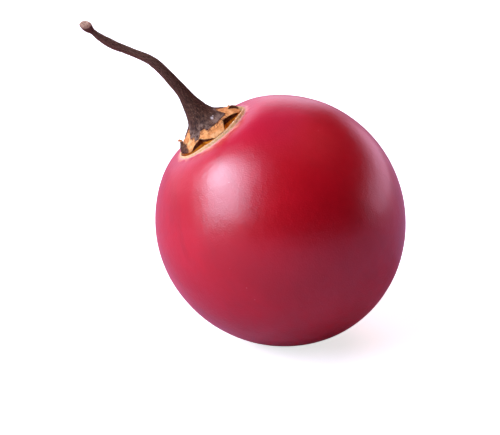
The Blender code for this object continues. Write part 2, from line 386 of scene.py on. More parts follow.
class Effects:
    """The node groups that more than one finish uses."""

    MOTTLE_DETAIL = 4.0
    RELIEF_DETAIL = 2.0
    SPECK_CORE = 0.45

    def __init__(self) -> None:
        """Builds each group once."""
        self.mottle = self.make_mottle()
        self.specks = self.make_specks()
        self.relief = self.make_relief()

    def make_mottle(self) -> bpy.types.NodeTree:
        """Makes uneven patches between two colours.

        Returns:
            The group, which puts out the colour and the share of the second colour as a mask.
        """
        inputs = {"Place": "Vector", "Scale": "Float", "Low": "Color", "High": "Color", "Spread": "Float"}
        tree, desk = new_group("mottle", inputs, {"Color": "Color", "Mask": "Float"})
        given = desk.tree.nodes.new("NodeGroupInput").outputs
        settings = {"Vector": given["Place"], "Scale": given["Scale"], "Detail": self.MOTTLE_DETAIL}
        wave = desk.node("TexNoise", settings)
        low = desk.math("SUBTRACT", 0.5, given["Spread"])
        high = desk.math("ADD", 0.5, given["Spread"])
        mask = desk.node("MapRange", {"Value": wave.outputs["Fac"], "From Min": low, "From Max": high})
        colour = desk.blend(mask.outputs["Result"], given["Low"], given["High"])
        self.put_out(desk, {"Color": colour, "Mask": mask.outputs["Result"]})
        return tree

    def make_specks(self) -> bpy.types.NodeTree:
        """Makes small round specks in a share of the cells.

        Returns:
            The group, which puts out the specks as a mask.
        """
        inputs = {"Place": "Vector", "Scale": "Float", "Radius": "Float", "Share": "Float"}
        tree, desk = new_group("specks", inputs, {"Mask": "Float"})
        given = desk.tree.nodes.new("NodeGroupInput").outputs
        cells = desk.node("TexVoronoi", {"Vector": given["Place"], "Scale": given["Scale"]})
        draw = desk.node("SeparateColor", {0: cells.outputs["Color"]}).outputs[0]
        chosen = desk.math("LESS_THAN", draw, given["Share"])
        inner = desk.times(given["Radius"], self.SPECK_CORE)
        dot = desk.between(cells.outputs["Distance"], given["Radius"], inner)
        self.put_out(desk, {"Mask": desk.times(dot, chosen)})
        return tree

    def make_relief(self) -> bpy.types.NodeTree:
        """Makes fine and coarse unevenness added together.

        Returns:
            The group, which puts out a height.
        """
        inputs = {"Place": "Vector", "Fine Scale": "Float", "Coarse Scale": "Float", "Coarse Share": "Float"}
        tree, desk = new_group("relief", inputs, {"Height": "Float"})
        given = desk.tree.nodes.new("NodeGroupInput").outputs
        settings = {"Vector": given["Place"], "Detail": self.RELIEF_DETAIL}
        scales = ("Fine Scale", "Coarse Scale")
        fine, coarse = (desk.node("TexNoise", settings | {"Scale": given[scale]}) for scale in scales)
        added = desk.times(coarse.outputs["Fac"], given["Coarse Share"])
        self.put_out(desk, {"Height": desk.math("ADD", fine.outputs["Fac"], added)})
        return tree

    @staticmethod
    def put_out(desk: Desk, results: dict[str, Socket]) -> None:
        """Links the results to the group's outputs.

        Args:
            desk: the desk of the group.
            results: for each output's name, what it puts out.
        """
        end = desk.tree.nodes.new("NodeGroupOutput")
        for label, result in results.items():
            desk.feed(end.inputs[label], result)

    def mottled(
        self,
        desk: Desk,
        place: Socket,
        scale: float,
        pair: tuple[Colour, Colour],
        spread: float,
    ) -> Socket:
        """Places the mottle.

        Args:
            desk: the desk of the material.
            place: the coordinates to lay it on.
            scale: how many patches there are in a unit.
            pair: the two colours.
            spread: how wide the change from one colour to the other is.

        Returns:
            The mottled colour.
        """
        low, high = pair
        made = desk.group(self.mottle, Place=place, Scale=scale, Low=low, High=high, Spread=spread)
        return made.outputs["Color"]


def new_material(name: str) -> tuple[bpy.types.Material, Desk]:
    """Starts a material.

    Args:
        name: the material's name.

    Returns:
        The material and an empty desk to lay out its nodes.
    """
    material = bpy.data.materials.new(name)
    material.use_nodes = True
    return material, Desk(material.node_tree)


def finish_material(desk: Desk, inputs: dict[str, Feed]) -> None:
    """Adds the Principled shader with these inputs, and the material's output."""
    shader = desk.node("BsdfPrincipled", inputs)
    desk.node("OutputMaterial", {"Surface": shader.outputs["BSDF"]})


@dataclass(frozen=True)
class SkinFinish:
    """Waxy crimson skin, paler and flecked round the corky lip, where the paler pink is partly painted sheen,
    with a dark scar at the blossom end.

    The ranges of the pink and painted sheen, flush, bloom, lip, crack and cup are distances outside the lip's
    crest, and each colour grows from the first distance to the second.
    """

    crimson: Colour = (0.58, 0.004, 0.0125)
    deep: Colour = (0.49, 0.0026, 0.008)
    deep_scale: float = 0.09
    deep_spread: float = 0.2
    stripe: Colour = (0.38, 0.002, 0.006)
    stripe_scale: float = 1.6
    stripe_noise: Pair = (0.52, 0.72)
    stripe_strength: float = 0.35
    speck: Colour = (0.85, 0.35, 0.32)
    speck_scale: float = 0.42
    speck_radius: float = 0.055
    speck_share: float = 0.3
    speck_strength: float = 0.55
    # The paler pink of the skin round the lip, partly its own colour and partly painted sheen.
    glow: Colour = (0.58, 0.018, 0.045)
    pink_and_sheen_range: Pair = (8.0, 0.5)
    pink_and_sheen_strength: float = 0.5
    flush: Colour = (0.92, 0.32, 0.18)
    flush_range: Pair = (1.35, 0.35)
    flush_reach: float = 3.6
    flush_scale: float = 0.36
    flush_patches: Pair = (0.36, 0.58)
    flush_patch_scale: float = 0.17
    flush_strength: float = 0.8
    bloom: Colour = (0.84, 0.40, 0.36)
    bloom_range: Pair = (0.75, 0.3)
    bloom_strength: float = 0.6
    cream: Colour = (0.86, 0.47, 0.14)
    cream_pale: Colour = (0.95, 0.67, 0.32)
    cream_scale: float = 2.6
    cream_spread: float = 0.15
    lip_range: Pair = (0.38, 0.22)
    lip_tatter: float = 0.16
    lip_tatter_scale: float = 2.4
    crack: Colour = (0.34, 0.20, 0.11)
    crack_inside: Pair = (0.13, 0.18)
    crack_outside: Pair = (0.27, 0.22)
    crack_scale: float = 1.3
    crack_noise: Pair = (0.45, 0.65)
    crack_strength: float = 0.45
    cup: Colour = (0.70, 0.20, 0.01)
    cup_light: Colour = (0.85, 0.36, 0.04)
    cup_range: Pair = (-0.3, -0.42)
    cup_scale: float = 1.4
    cup_spread: float = 0.2
    scar: Colour = (0.05, 0.02, 0.015)
    roughness: float = 0.30
    cork_roughness: float = 0.8
    reflection: float = 0.75
    coat: float = 0.15
    coat_roughness: float = 0.2
    inner_glow: float = 0.06
    inner_glow_reach: Triple = (1.0, 0.2, 0.1)
    inner_glow_depth: float = 0.0012
    peel_scale: float = 3.2
    peel_height: float = 0.76
    swell_scale: float = 0.5
    swell_share: float = 1.2
    crumb_scale: float = 5.0
    crumb_share: float = 5.0
    relief_depth: float = 0.00006

    def material(self, effects: Effects) -> bpy.types.Material:
        """Builds the skin's material.

        Args:
            effects: the shared node groups.

        Returns:
            The material, which reads the attributes of the fruit's mesh.
        """
        material, desk = new_material("skin")
        place = desk.place("axis_place")
        offset = desk.attribute("lip_offset")
        colour = effects.mottled(desk, place, self.deep_scale, (self.deep, self.crimson), self.deep_spread)
        colour = self.striped(desk, colour)
        colour = self.specked(desk, effects, colour, place)
        # paler pink round the lip, partly the skin's colour and partly painted sheen
        glow = desk.times(desk.between(offset, *self.pink_and_sheen_range), self.pink_and_sheen_strength)
        colour = desk.blend(glow, colour, self.glow)
        colour = self.flushed(desk, colour, place, offset)
        colour = self.lipped(desk, effects, colour, place, offset)
        scar = desk.attribute("scar")
        colour = desk.blend(scar, colour, self.scar)
        dull = desk.math("MAXIMUM", desk.between(offset, *self.bloom_range), scar)
        dullness = {"Value": dull, "To Min": self.roughness, "To Max": self.cork_roughness}
        rough = desk.node("MapRange", dullness)
        finish_material(desk, {
            "Base Color": colour,
            "Roughness": rough.outputs["Result"],
            "Specular IOR Level": self.reflection,
            "Coat Weight": self.coat,
            "Coat Roughness": self.coat_roughness,
            "Subsurface Weight": self.inner_glow,
            "Subsurface Radius": self.inner_glow_reach,
            "Subsurface Scale": self.inner_glow_depth,
            "Normal": self.peel(desk, effects, place, dull),
        })
        return material

    def striped(self, desk: Desk, colour: Socket) -> Socket:
        """Adds the faint darker stripes that run from the stalk to the blossom end.

        Args:
            desk: the desk of the material.
            colour: the skin's colour so far.

        Returns:
            The striped colour.
        """
        stripes = desk.noise(desk.place("stripe_place"), self.stripe_scale, detail=4.0)
        faint = desk.times(desk.between(stripes, *self.stripe_noise), self.stripe_strength)
        return desk.blend(faint, colour, self.stripe)

    def specked(self, desk: Desk, effects: Effects, colour: Socket, place: Socket) -> Socket:
        """Adds the small pale specks of the skin.

        Args:
            desk: the desk of the material.
            effects: the shared node groups.
            colour: the skin's colour so far.
            place: the place on the fruit.

        Returns:
            The specked colour.
        """
        settings = {"Scale": self.speck_scale, "Radius": self.speck_radius, "Share": self.speck_share}
        dots = desk.group(effects.specks, Place=place, **settings)
        return desk.blend(desk.times(dots.outputs["Mask"], self.speck_strength), colour, self.speck)

    def flushed(self, desk: Desk, colour: Socket, place: Socket, offset: Socket) -> Socket:
        """Adds the patchy pale flush that spreads from the lip.

        Args:
            desk: the desk of the material.
            colour: the skin's colour so far.
            place: the place on the fruit.
            offset: the distance outside the lip's crest.

        Returns:
            The flushed colour.
        """
        wander = desk.wander(place, self.flush_scale, self.flush_reach, roughness=0.62)
        near = desk.between(desk.math("SUBTRACT", offset, wander), *self.flush_range)
        patches = desk.between(desk.noise(place, self.flush_patch_scale, detail=2.0), *self.flush_patches)
        return desk.blend(desk.times(desk.times(near, patches), self.flush_strength), colour, self.flush)

    def lipped(self, desk: Desk, effects: Effects, colour: Socket, place: Socket, offset: Socket) -> Socket:
        """Adds the bloom beside the lip, the cream lip with its thin crack, and the orange cup inside it.

        Args:
            desk: the desk of the material.
            effects: the shared node groups.
            colour: the skin's colour so far.
            place: the place on the fruit.
            offset: the distance outside the lip's crest.

        Returns:
            The colour with the lip and the cup in it.
        """
        bloom = desk.times(desk.between(offset, *self.bloom_range), self.bloom_strength)
        colour = desk.blend(bloom, colour, self.bloom)
        tatter = desk.wander(place, self.lip_tatter_scale, self.lip_tatter)
        edge = desk.math("SUBTRACT", offset, tatter)
        creams = (self.cream, self.cream_pale)
        pale = effects.mottled(desk, place, self.cream_scale, creams, self.cream_spread)
        colour = desk.blend(desk.between(edge, *self.lip_range), colour, pale)
        line = desk.times(desk.between(offset, *self.crack_inside), desk.between(offset, *self.crack_outside))
        gaps = desk.between(desk.noise(place, self.crack_scale, detail=4.0), *self.crack_noise)
        colour = desk.blend(desk.times(line, desk.times(gaps, self.crack_strength)), colour, self.crack)
        inside = effects.mottled(desk, place, self.cup_scale, (self.cup, self.cup_light), self.cup_spread)
        return desk.blend(desk.between(offset, *self.cup_range), colour, inside)

    def peel(self, desk: Desk, effects: Effects, place: Socket, dull: Socket) -> Socket:
        """Makes the fine relief of the skin, coarser on the cork.

        Args:
            desk: the desk of the material.
            effects: the shared node groups.
            place: the place on the fruit.
            dull: 1 on the cork and the scar, and 0 on the skin.

        Returns:
            The normal.
        """
        scales = {
            "Fine_Scale": self.peel_scale,
            "Coarse_Scale": self.swell_scale,
            "Coarse_Share": self.swell_share,
        }
        skin = desk.group(effects.relief, Place=place, **scales)
        crumbs = desk.noise(place, self.crumb_scale, detail=4.0)
        crumbs = desk.times(crumbs, desk.times(dull, self.crumb_share))
        height = desk.math("ADD", skin.outputs["Height"], crumbs)
        bump = {"Height": height, "Strength": self.peel_height, "Distance": self.relief_depth}
        return desk.node("Bump", bump).outputs["Normal"]


@dataclass(frozen=True)
class BarkFinish:
    """Dry purple-brown bark over orange cork, with dark torn edges and a pale broken end. Its colours also hold
    painted shade in the torn band, under the calyx and in the pits, painted highlights in the pale cork patches
    and a painted red tint on the bark that faces down.

    Names that end in noise are ranges of a noise's value, and a colour grows from the first value to the
    second. The edge, dust and stain ranges are distances above the bark's lower edge, and the worn range is
    along the grain.
    """

    groove: Colour = (0.024, 0.011, 0.006)
    bark: Colour = (0.095, 0.041, 0.021)
    groove_noise: Pair = (0.38, 0.54)
    ridge: Colour = (0.285, 0.168, 0.098)
    ridge_noise: Pair = (0.55, 0.70)
    streak_squeeze: Triple = (1.0, 1.0, 1.9)
    streak_scale: float = 4.2
    streak_roughness: float = 0.7
    worn: Colour = (0.22, 0.118, 0.076)
    worn_range: Pair = (2.0, 5.5)
    worn_noise: Pair = (0.40, 0.56)
    worn_strength: float = 0.75
    dusty: Colour = (0.28, 0.176, 0.118)
    dust_range: Pair = (1.5, 0.4)
    dust_scale: float = 1.0
    dust_noise: Pair = (0.44, 0.6)
    dust_strength: float = 0.7
    # A painted red tint on the bark that faces down, set by which way each surface faces.
    painted_underside_red: Colour = (0.26, 0.07, 0.018)
    painted_underside_facing: Pair = (-0.1, -0.9)
    painted_underside_strength: float = 0.4
    speck: Colour = (0.40, 0.32, 0.27)
    speck_scale: float = 2.2
    speck_radius: float = 0.2
    speck_share: float = 0.14
    speck_strength: float = 0.35
    fleck: Colour = (0.62, 0.54, 0.47)
    cork: Colour = (0.88, 0.39, 0.12)
    cork_deep: Colour = (0.60, 0.21, 0.05)
    cork_scale: float = 1.1
    cork_spread: float = 0.16
    # Paler cream patches of the cork, partly its own tone and partly painted highlights.
    cork_pale_and_highlight: Colour = (0.93, 0.52, 0.205)
    pale_and_highlight_scale: float = 0.8
    pale_and_highlight_noise: Pair = (0.5, 0.66)
    pale_and_highlight_strength: float = 0.75
    cork_brown: Colour = (0.26, 0.085, 0.03)
    stain_range: Pair = (-1.0, 0.0)
    stain_strength: float = 0.16
    brown_scale: float = 2.6
    brown_noise: Pair = (0.6, 0.72)
    crack_scale: float = 5.0
    crack_noise: Pair = (0.36, 0.26)
    crack_strength: float = 0.7
    # Painted shade in the small pits of the cork and the broken end.
    pit: Colour = (0.10, 0.035, 0.015)
    pit_scale: float = 2.4
    pit_radius: float = 0.22
    pit_share: float = 0.16
    pit_shade_strength: float = 0.85
    # Dark torn tissue, also used as painted shade in the torn band and on the wall under the calyx.
    torn_and_shade: Colour = (0.055, 0.018, 0.009)
    torn_and_shade_pale: Colour = (0.16, 0.062, 0.027)
    torn_and_shade_scale: float = 2.0
    torn_and_shade_spread: float = 0.15
    under: Colour = (0.72, 0.20, 0.004)
    under_light: Colour = (0.84, 0.34, 0.02)
    under_scale: float = 1.3
    under_spread: float = 0.2
    broken: Colour = (0.32, 0.165, 0.095)
    broken_pale: Colour = (0.64, 0.42, 0.27)
    broken_scale: float = 2.2
    broken_spread: float = 0.2
    edge_range: Pair = (-0.03, 0.05)
    cork_roughness: float = 0.85
    bark_roughness: float = 0.72
    reflection: float = 0.2
    crumb_scale: float = 7.0
    lump_scale: float = 2.2
    lump_share: float = 1.0
    fibre_scale: float = 8.0
    fibre_share: float = 1.6
    relief_height: float = 0.6
    relief_depth: float = 0.00012

    def material(self, effects: Effects) -> bpy.types.Material:
        """Builds the stalk's material.

        Args:
            effects: the shared node groups.

        Returns:
            The material, which reads the attributes of the stalk's mesh.
        """
        material, desk = new_material("bark")
        place = desk.place("place")
        bark = self.bark_colour(desk, effects, place)
        cork = self.cork_colour(desk, effects, place)
        on_bark = desk.between(desk.attribute("bark"), *self.edge_range)
        colour = desk.blend(on_bark, cork, bark)
        walls = (self.under, self.under_light)
        inside = effects.mottled(desk, place, self.under_scale, walls, self.under_spread)
        colour = desk.blend(desk.attribute("under"), colour, inside)
        # the dark mask paints torn tissue and blotches, and painted shade in the torn band and on the wall
        # under the calyx
        torn_and_shade = effects.mottled(desk, place, self.torn_and_shade_scale, (self.torn_and_shade, self.torn_and_shade_pale), self.torn_and_shade_spread)
        colour = desk.blend(desk.attribute("dark"), colour, torn_and_shade)
        ends = (self.broken, self.broken_pale)
        end = effects.mottled(desk, place, self.broken_scale, ends, self.broken_spread)
        colour = desk.blend(desk.attribute("broken"), colour, end)
        # painted shade in the pits of the cork and the broken end
        colour = desk.blend(desk.attribute("pit"), colour, self.pit)
        dullness = {"Value": on_bark, "To Min": self.cork_roughness, "To Max": self.bark_roughness}
        finish_material(desk, {
            "Base Color": colour,
            "Roughness": desk.node("MapRange", dullness).outputs["Result"],
            "Specular IOR Level": self.reflection,
            "Normal": self.relief(desk, effects, place, on_bark),
        })
        return material

    def bark_colour(self, desk: Desk, effects: Effects, place: Socket) -> Socket:
        """Makes long streaks along the bark, with dusty tongues and pale specks, and a painted red tint on the
        sides that face down.

        Args:
            desk: the desk of the material.
            effects: the shared node groups.
            place: the place on the stalk.

        Returns:
            The bark's colour.
        """
        grain = desk.place("grain")
        squeezed = {0: grain, 1: self.streak_squeeze}
        shorter = desk.node("VectorMath", squeezed, operation="MULTIPLY").outputs["Vector"]
        streaks = desk.noise(shorter, self.streak_scale, detail=6.0, roughness=self.streak_roughness)
        colour = desk.blend(desk.between(streaks, *self.groove_noise), self.groove, self.bark)
        colour = desk.blend(desk.between(streaks, *self.ridge_noise), colour, self.ridge)
        along = desk.node("SeparateXYZ", {0: grain}).outputs["Z"]
        worn = desk.times(desk.between(along, *self.worn_range), desk.between(streaks, *self.worn_noise))
        colour = desk.blend(desk.times(worn, self.worn_strength), colour, self.worn)
        near_edge = desk.between(desk.attribute("bark"), *self.dust_range)
        patches = desk.noise(place, self.dust_scale, detail=6.0, roughness=0.6)
        dust = desk.times(near_edge, desk.between(patches, *self.dust_noise))
        colour = desk.blend(desk.times(dust, self.dust_strength), colour, self.dusty)
        # painted red tint where the surface faces down
        facing = desk.node("SeparateXYZ", {0: desk.node("NewGeometry").outputs["Normal"]}).outputs["Z"]
        painted_underside = desk.times(desk.between(facing, *self.painted_underside_facing), self.painted_underside_strength)
        colour = desk.blend(painted_underside, colour, self.painted_underside_red)
        settings = {"Scale": self.speck_scale, "Radius": self.speck_radius, "Share": self.speck_share}
        dots = desk.group(effects.specks, Place=place, **settings)
        colour = desk.blend(desk.times(dots.outputs["Mask"], self.speck_strength), colour, self.speck)
        return desk.blend(desk.attribute("fleck"), colour, self.fleck)

    def cork_colour(self, desk: Desk, effects: Effects, place: Socket) -> Socket:
        """Makes orange cork with deeper patches, paler patches that are partly painted highlights, brown cracks
        and small pits painted dark as painted shade.

        Args:
            desk: the desk of the material.
            effects: the shared node groups.
            place: the place on the calyx.

        Returns:
            The cork's colour.
        """
        patches = effects.mottled(desk, place, self.cork_scale, (self.cork_deep, self.cork), self.cork_spread)
        # paler cream patches, partly painted highlights
        patchy = desk.noise(place, self.pale_and_highlight_scale, detail=5.0, roughness=0.6)
        light = desk.between(patchy, *self.pale_and_highlight_noise)
        colour = desk.blend(desk.times(light, self.pale_and_highlight_strength), patches, self.cork_pale_and_highlight)
        reach = desk.attribute("bark")
        stain = desk.times(desk.between(reach, *self.stain_range), self.stain_strength)
        brown = desk.noise(place, self.brown_scale, detail=5.0, roughness=0.65)
        brown = desk.math("ADD", brown, stain)
        colour = desk.blend(desk.between(brown, *self.brown_noise), colour, self.cork_brown)
        cracks = desk.noise(desk.place("grain"), self.crack_scale, detail=5.0, roughness=0.6)
        faint = desk.times(desk.between(cracks, *self.crack_noise), self.crack_strength)
        colour = desk.blend(faint, colour, self.cork_brown)
        # small dark dots as painted shade in the cork's pits
        settings = {"Scale": self.pit_scale, "Radius": self.pit_radius, "Share": self.pit_share}
        shaded_pits = desk.group(effects.specks, Place=place, **settings)
        return desk.blend(desk.times(shaded_pits.outputs["Mask"], self.pit_shade_strength), colour, self.pit)

    def relief(self, desk: Desk, effects: Effects, place: Socket, on_bark: Socket) -> Socket:
        """Makes fine grain along the bark, and crumbly cork elsewhere.

        Args:
            desk: the desk of the material.
            effects: the shared node groups.
            place: the place on the stalk or calyx.
            on_bark: 1 on the bark and 0 on the cork.

        Returns:
            The normal.
        """
        scales = {
            "Fine_Scale": self.crumb_scale,
            "Coarse_Scale": self.lump_scale,
            "Coarse_Share": self.lump_share,
        }
        crumbs = desk.group(effects.relief, Place=place, **scales)
        fibres = desk.times(desk.noise(desk.place("grain"), self.fibre_scale, detail=4.0), self.fibre_share)
        height = desk.node("Mix", {
            "Factor": on_bark,
            Desk.FIRST_NUMBER: crumbs.outputs["Height"],
            Desk.SECOND_NUMBER: fibres,
        }).outputs[0]
        bump = {"Height": height, "Strength": self.relief_height, "Distance": self.relief_depth}
        return desk.node("Bump", bump).outputs["Normal"]


@dataclass(frozen=True)
class FloorFinish:
    """A plain white studio sweep with the faintest unevenness."""

    low: Colour = (0.92, 0.92, 0.92)
    high: Colour = (0.95, 0.95, 0.95)
    scale: float = 8.0
    spread: float = 0.3
    seen_in_skin: Colour = (0.54, 0.30, 0.44)
    roughness: float = 0.85
    glow_colour: Colour = (0.97, 1.0, 0.98)
    glow: float = 0.72

    def material(self, effects: Effects) -> bpy.types.Material:
        """Builds the floor's material.

        Args:
            effects: the shared node groups.

        Returns:
            The material, brighter to the camera than in a reflection.
        """
        material, desk = new_material("floor")
        place = desk.node("TexCoord").outputs["Object"]
        tone = effects.mottled(desk, place, self.scale, (self.low, self.high), self.spread)
        seen = desk.node("LightPath").outputs["Is Camera Ray"]
        finish_material(desk, {
            "Base Color": desk.blend(seen, self.seen_in_skin, tone),
            "Roughness": self.roughness,
            "Emission Color": self.glow_colour,
            "Emission Strength": desk.times(seen, self.glow),
        })
        return material


@dataclass
class FruitFrame:
    """The fruit's driving sizes and the place of its own frame in the row, both as in the CAD model."""

    radius: float = 26.0
    stem_half: float = 26.3
    blossom_half: float = 27.1
    lean: float = math.radians(36.0)
    spot_radius: float = 5.5
    shoulder_height: float = 23.55
    shoulder_blend: float = 1.0
    lip_radius: float = 8.1
    lip_rise: float = 0.35

    def stem_height(self, radius: Number) -> Number:
        """Height of the stem side before the lip and cup.

        Args:
            radius: distance from the axis.

        Returns:
            The height there, of a dome cut off softly at the shoulder.
        """
        dome = self.stem_half * np.sqrt(np.maximum(0.0, 1 - (radius / self.radius) ** 2))
        gap = dome - self.shoulder_height
        return 0.5 * (dome + self.shoulder_height - np.sqrt(gap * gap + self.shoulder_blend**2))

    def lip_height(self) -> float:
        """Height of the lip's crest."""
        return float(self.stem_height(self.lip_radius)) + self.lip_rise

    def matrix(self) -> Matrix:
        """Works out where the fruit's own frame stands in the row.

        Returns:
            The place and turn that put the resting spot's middle at the origin, in metres.
        """
        sine, cosine = math.sin(self.lean), math.cos(self.lean)
        reach = math.hypot(self.radius * sine, self.blossom_half * cosine)
        lowest = Vector((-self.radius**2 * sine, 0, -self.blossom_half**2 * cosine))
        turn = Matrix.Rotation(-self.lean, 4, "Y")
        depth = self.spot_radius**2 / (self.radius + self.blossom_half)
        return Matrix.Translation((Vector((0, 0, -depth)) - turn @ lowest / reach) * MM) @ turn

    def lip_matrix(self) -> Matrix:
        """The same frame with its origin in the middle of the lip."""
        return self.matrix() @ Matrix.Translation((0, 0, self.lip_height() * MM))


@dataclass
class FruitBody:
    """The fruit: skin, shoulder, corky lip, cup and blossom point in one fine mesh.

    Each swell of the lip is its angle in degrees, its rise and its half width in degrees. The ditch round the
    tip is its radius, depth and width. The cup's and the lip's rings lie between the two distances from the
    axis in their reach.
    """

    frame: FruitFrame
    finish: SkinFinish
    segments: int = 320
    cup_reach: Pair = (0.5, 6.6)
    cup_rings: int = 8
    lip_reach: Pair = (6.8, 10.6)
    lip_step: float = 0.065
    belly_rings: int = 76
    lower_rings: int = 110
    lower_rings_left_out: int = 8
    tip_end: float = 0.12
    tip_rings: int = 24
    inset: float = 0.06
    undulation: Wave = Wave(0.06, 0.11, 5.0)
    undulation_start: float = 0.8
    undulation_fade: float = 3.0
    oval_share: float = 0.004
    oval_turn: float = 0.7
    shoulder_share: float = 0.005
    shoulders: int = 5
    lip_width: float = 0.25
    lip_squareness: float = 2.6
    lip_inwards: float = 0.05
    lip_extra_rise: float = 0.10
    lip_wander: tuple[Wave, Wave] = (Wave(0.07, 0.9, layers=3), Wave(0.03, 4.0))
    lip_waves: Wave = Wave(0.05, 2.3, 20.0, layers=3)
    lip_swells: tuple[Triple, ...] = ((-96.0, 0.38, 30.0), (-32.0, 0.56, 36.0), (100.0, 0.15, 60.0))
    skirt_rise: float = 0.16
    skirt_offset: float = 0.3
    skirt_width: float = 0.55
    skirt_fade: float = 0.2
    cup_depth: float = 0.9
    cup_offset: float = 0.12
    cup_edge: float = 0.45
    groove_offset: float = 0.20
    groove_depth: float = 0.05
    groove_width: float = 0.07
    pucker_count: float = 3.2
    pucker_depth: float = 0.05
    pucker_drift: float = 0.25
    pucker_reach: float = 0.9
    tip_rise: float = 0.7
    tip_radius: float = 1.9
    tip_ditch: Triple = (1.0, 0.1, 0.35)
    tip_close: float = 0.01
    scar_radius: float = 0.55
    scar_rise: float = 0.28
    scar_spread: float = 1.25
    scar_fade: float = 0.3
    stripe_stretch: float = 0.05
    far_from_lip: float = 30.0
    unevenness: Unevenness = field(default_factory=lambda: Unevenness(11))

    def radii(self) -> tuple[np.ndarray, np.ndarray]:
        """Spaces the rings, closest together at the lip and the tip.

        Returns:
            Distances from the axis of the rings on the stem side, outwards, and on the blossom side, inwards.
        """
        quarter = math.pi / 2
        cup = np.linspace(*self.cup_reach, self.cup_rings)
        lip = np.arange(*self.lip_reach, self.lip_step)
        start = math.asin(lip[-1] / self.frame.radius)
        belly = self.frame.radius * np.sin(np.linspace(start, quarter, self.belly_rings)[1:])
        turns = np.linspace(0, quarter, self.lower_rings)[1:-self.lower_rings_left_out]
        below = self.frame.radius * np.cos(turns)
        tip = np.linspace(below[-1], self.tip_end, self.tip_rings)[1:]
        return np.concatenate([cup, lip, belly]), np.concatenate([below, tip])

    def lip_ring(self, radius: np.ndarray, angle: np.ndarray) -> tuple[np.ndarray, np.ndarray]:
        """Shapes the lip and cup.

        Args:
            radius: distance from the axis of each point.
            angle: angle round the axis of each point.

        Returns:
            What the lip and cup add to the height, and how far outside the lip's crest each point lies.
        """
        round_it = round_axis(angle, NOISE_RADIUS)
        broad, fine = (self.unevenness.wave(round_it, wave) for wave in self.lip_wander)
        offset = radius - self.frame.lip_radius - (broad + fine)
        crest = self.frame.lip_rise + self.lip_extra_rise + self.unevenness.wave(round_it, self.lip_waves)
        for middle, rise, half_width in self.lip_swells:
            crest = crest + rise * bell(degrees_from(angle, middle), half_width)
        ridge = np.exp(-(np.abs(offset + self.lip_inwards) / self.lip_width) ** self.lip_squareness)
        skirt = self.skirt_rise * bell(offset - self.skirt_offset, self.skirt_width)
        skirt = skirt * smooth_step(offset / self.skirt_fade)
        cup = self.cup_depth * smooth_step((-offset - self.cup_offset) / self.cup_edge)
        height = crest * ridge + skirt - cup
        height = height - self.groove_depth * bell(offset - self.groove_offset, self.groove_width)
        pucker_at = round_it * self.pucker_count + (offset * self.pucker_drift)[..., None]
        pucker = self.unevenness.at(pucker_at) * bell(offset - self.pucker_reach, self.pucker_reach)
        return height + self.pucker_depth * pucker, offset

    def blossom_height(self, radius: np.ndarray) -> np.ndarray:
        """Height of the blossom side, with its point, the ditch round it and its scar.

        Args:
            radius: distance from the axis of each point.

        Returns:
            The height there, below the fruit's middle.
        """
        dome = np.sqrt(np.maximum(0.0, 1 - (radius / self.frame.radius) ** 2))
        tip = self.tip_rise * bell(radius, self.tip_radius) + self.scar_rise * bell(radius, self.scar_radius)
        ditch_radius, ditch_depth, ditch_width = self.tip_ditch
        tip = tip - ditch_depth * bell(radius - ditch_radius, ditch_width)
        return -self.frame.blossom_half * dome - tip

    def mesh(self) -> bpy.types.Object:
        """Builds the fruit's fine mesh.

        Returns:
            The mesh object, with the attributes that its finish reads.
        """
        stem, blossom = self.radii()
        angles = np.linspace(0, math.tau, self.segments, endpoint=False)
        radius, angle = np.meshgrid(np.concatenate([stem, blossom]), angles, indexing="ij")
        on_stem = np.arange(radius.shape[0])[:, None] < len(stem)
        lip, offset = self.lip_ring(radius, angle)
        height = np.where(on_stem, self.frame.stem_height(radius) + lip, self.blossom_height(radius))
        past_lip = smooth_step(radius / self.frame.lip_radius - 1)
        local = round_axis(angle, radius * mixed(1.0, self.roundness(angle, height), past_lip), height)
        away = smooth_step((np.abs(offset) - self.undulation_start) / self.undulation_fade)
        undulation = self.unevenness.wave(local, self.undulation)
        length = np.linalg.norm(local, axis=-1)
        local = local * (1 + away * (undulation - self.inset) / length)[..., None]
        return self.finished(local, angle, offset, on_stem, radius)

    def roundness(self, angle: np.ndarray, height: np.ndarray) -> np.ndarray:
        """Makes the fruit slightly oval, with faint shoulders near the stalk.

        Args:
            angle: angle round the axis of each point.
            height: height of each point.

        Returns:
            The share of a true circle's radius at which the skin lies.
        """
        near_stem = smooth_step(height / self.frame.shoulder_height)
        oval = self.oval_share * np.cos(2 * angle + self.oval_turn)
        return 1 + oval + self.shoulder_share * near_stem * np.cos(self.shoulders * angle)

    def finished(
        self,
        local: np.ndarray,
        angle: np.ndarray,
        offset: np.ndarray,
        on_stem: np.ndarray,
        radius: np.ndarray,
    ) -> bpy.types.Object:
        """Places the points in the row, flattens the resting spot and stores the attributes.

        Args:
            local: the points in the fruit's own frame.
            angle: angle round the axis of each point.
            offset: how far outside the lip's crest each point lies.
            on_stem: whether each ring is on the stem side.
            radius: distance from the axis of each point.

        Returns:
            The fruit's mesh object.
        """
        placed = moved(self.frame.matrix(), local)
        placed[..., 2] = np.maximum(placed[..., 2], 0.0)
        axis_ends = np.array([[0, 0, local[0, 0, 2]], [0, 0, local[-1, 0, 2] - self.tip_close]])
        ends = moved(self.frame.matrix(), axis_ends)
        scar = smooth_step((self.scar_radius * self.scar_spread - radius) / self.scar_fade)
        attributes = {
            "axis_place": local,
            "stripe_place": round_axis(angle, NOISE_RADIUS, local[..., 2] * self.stripe_stretch),
            "lip_offset": np.where(on_stem, offset, self.far_from_lip),
            "scar": np.where(on_stem, 0.0, scar),
        }
        return grid_mesh("fruit_skin", placed, (ends[0], ends[1]), attributes)

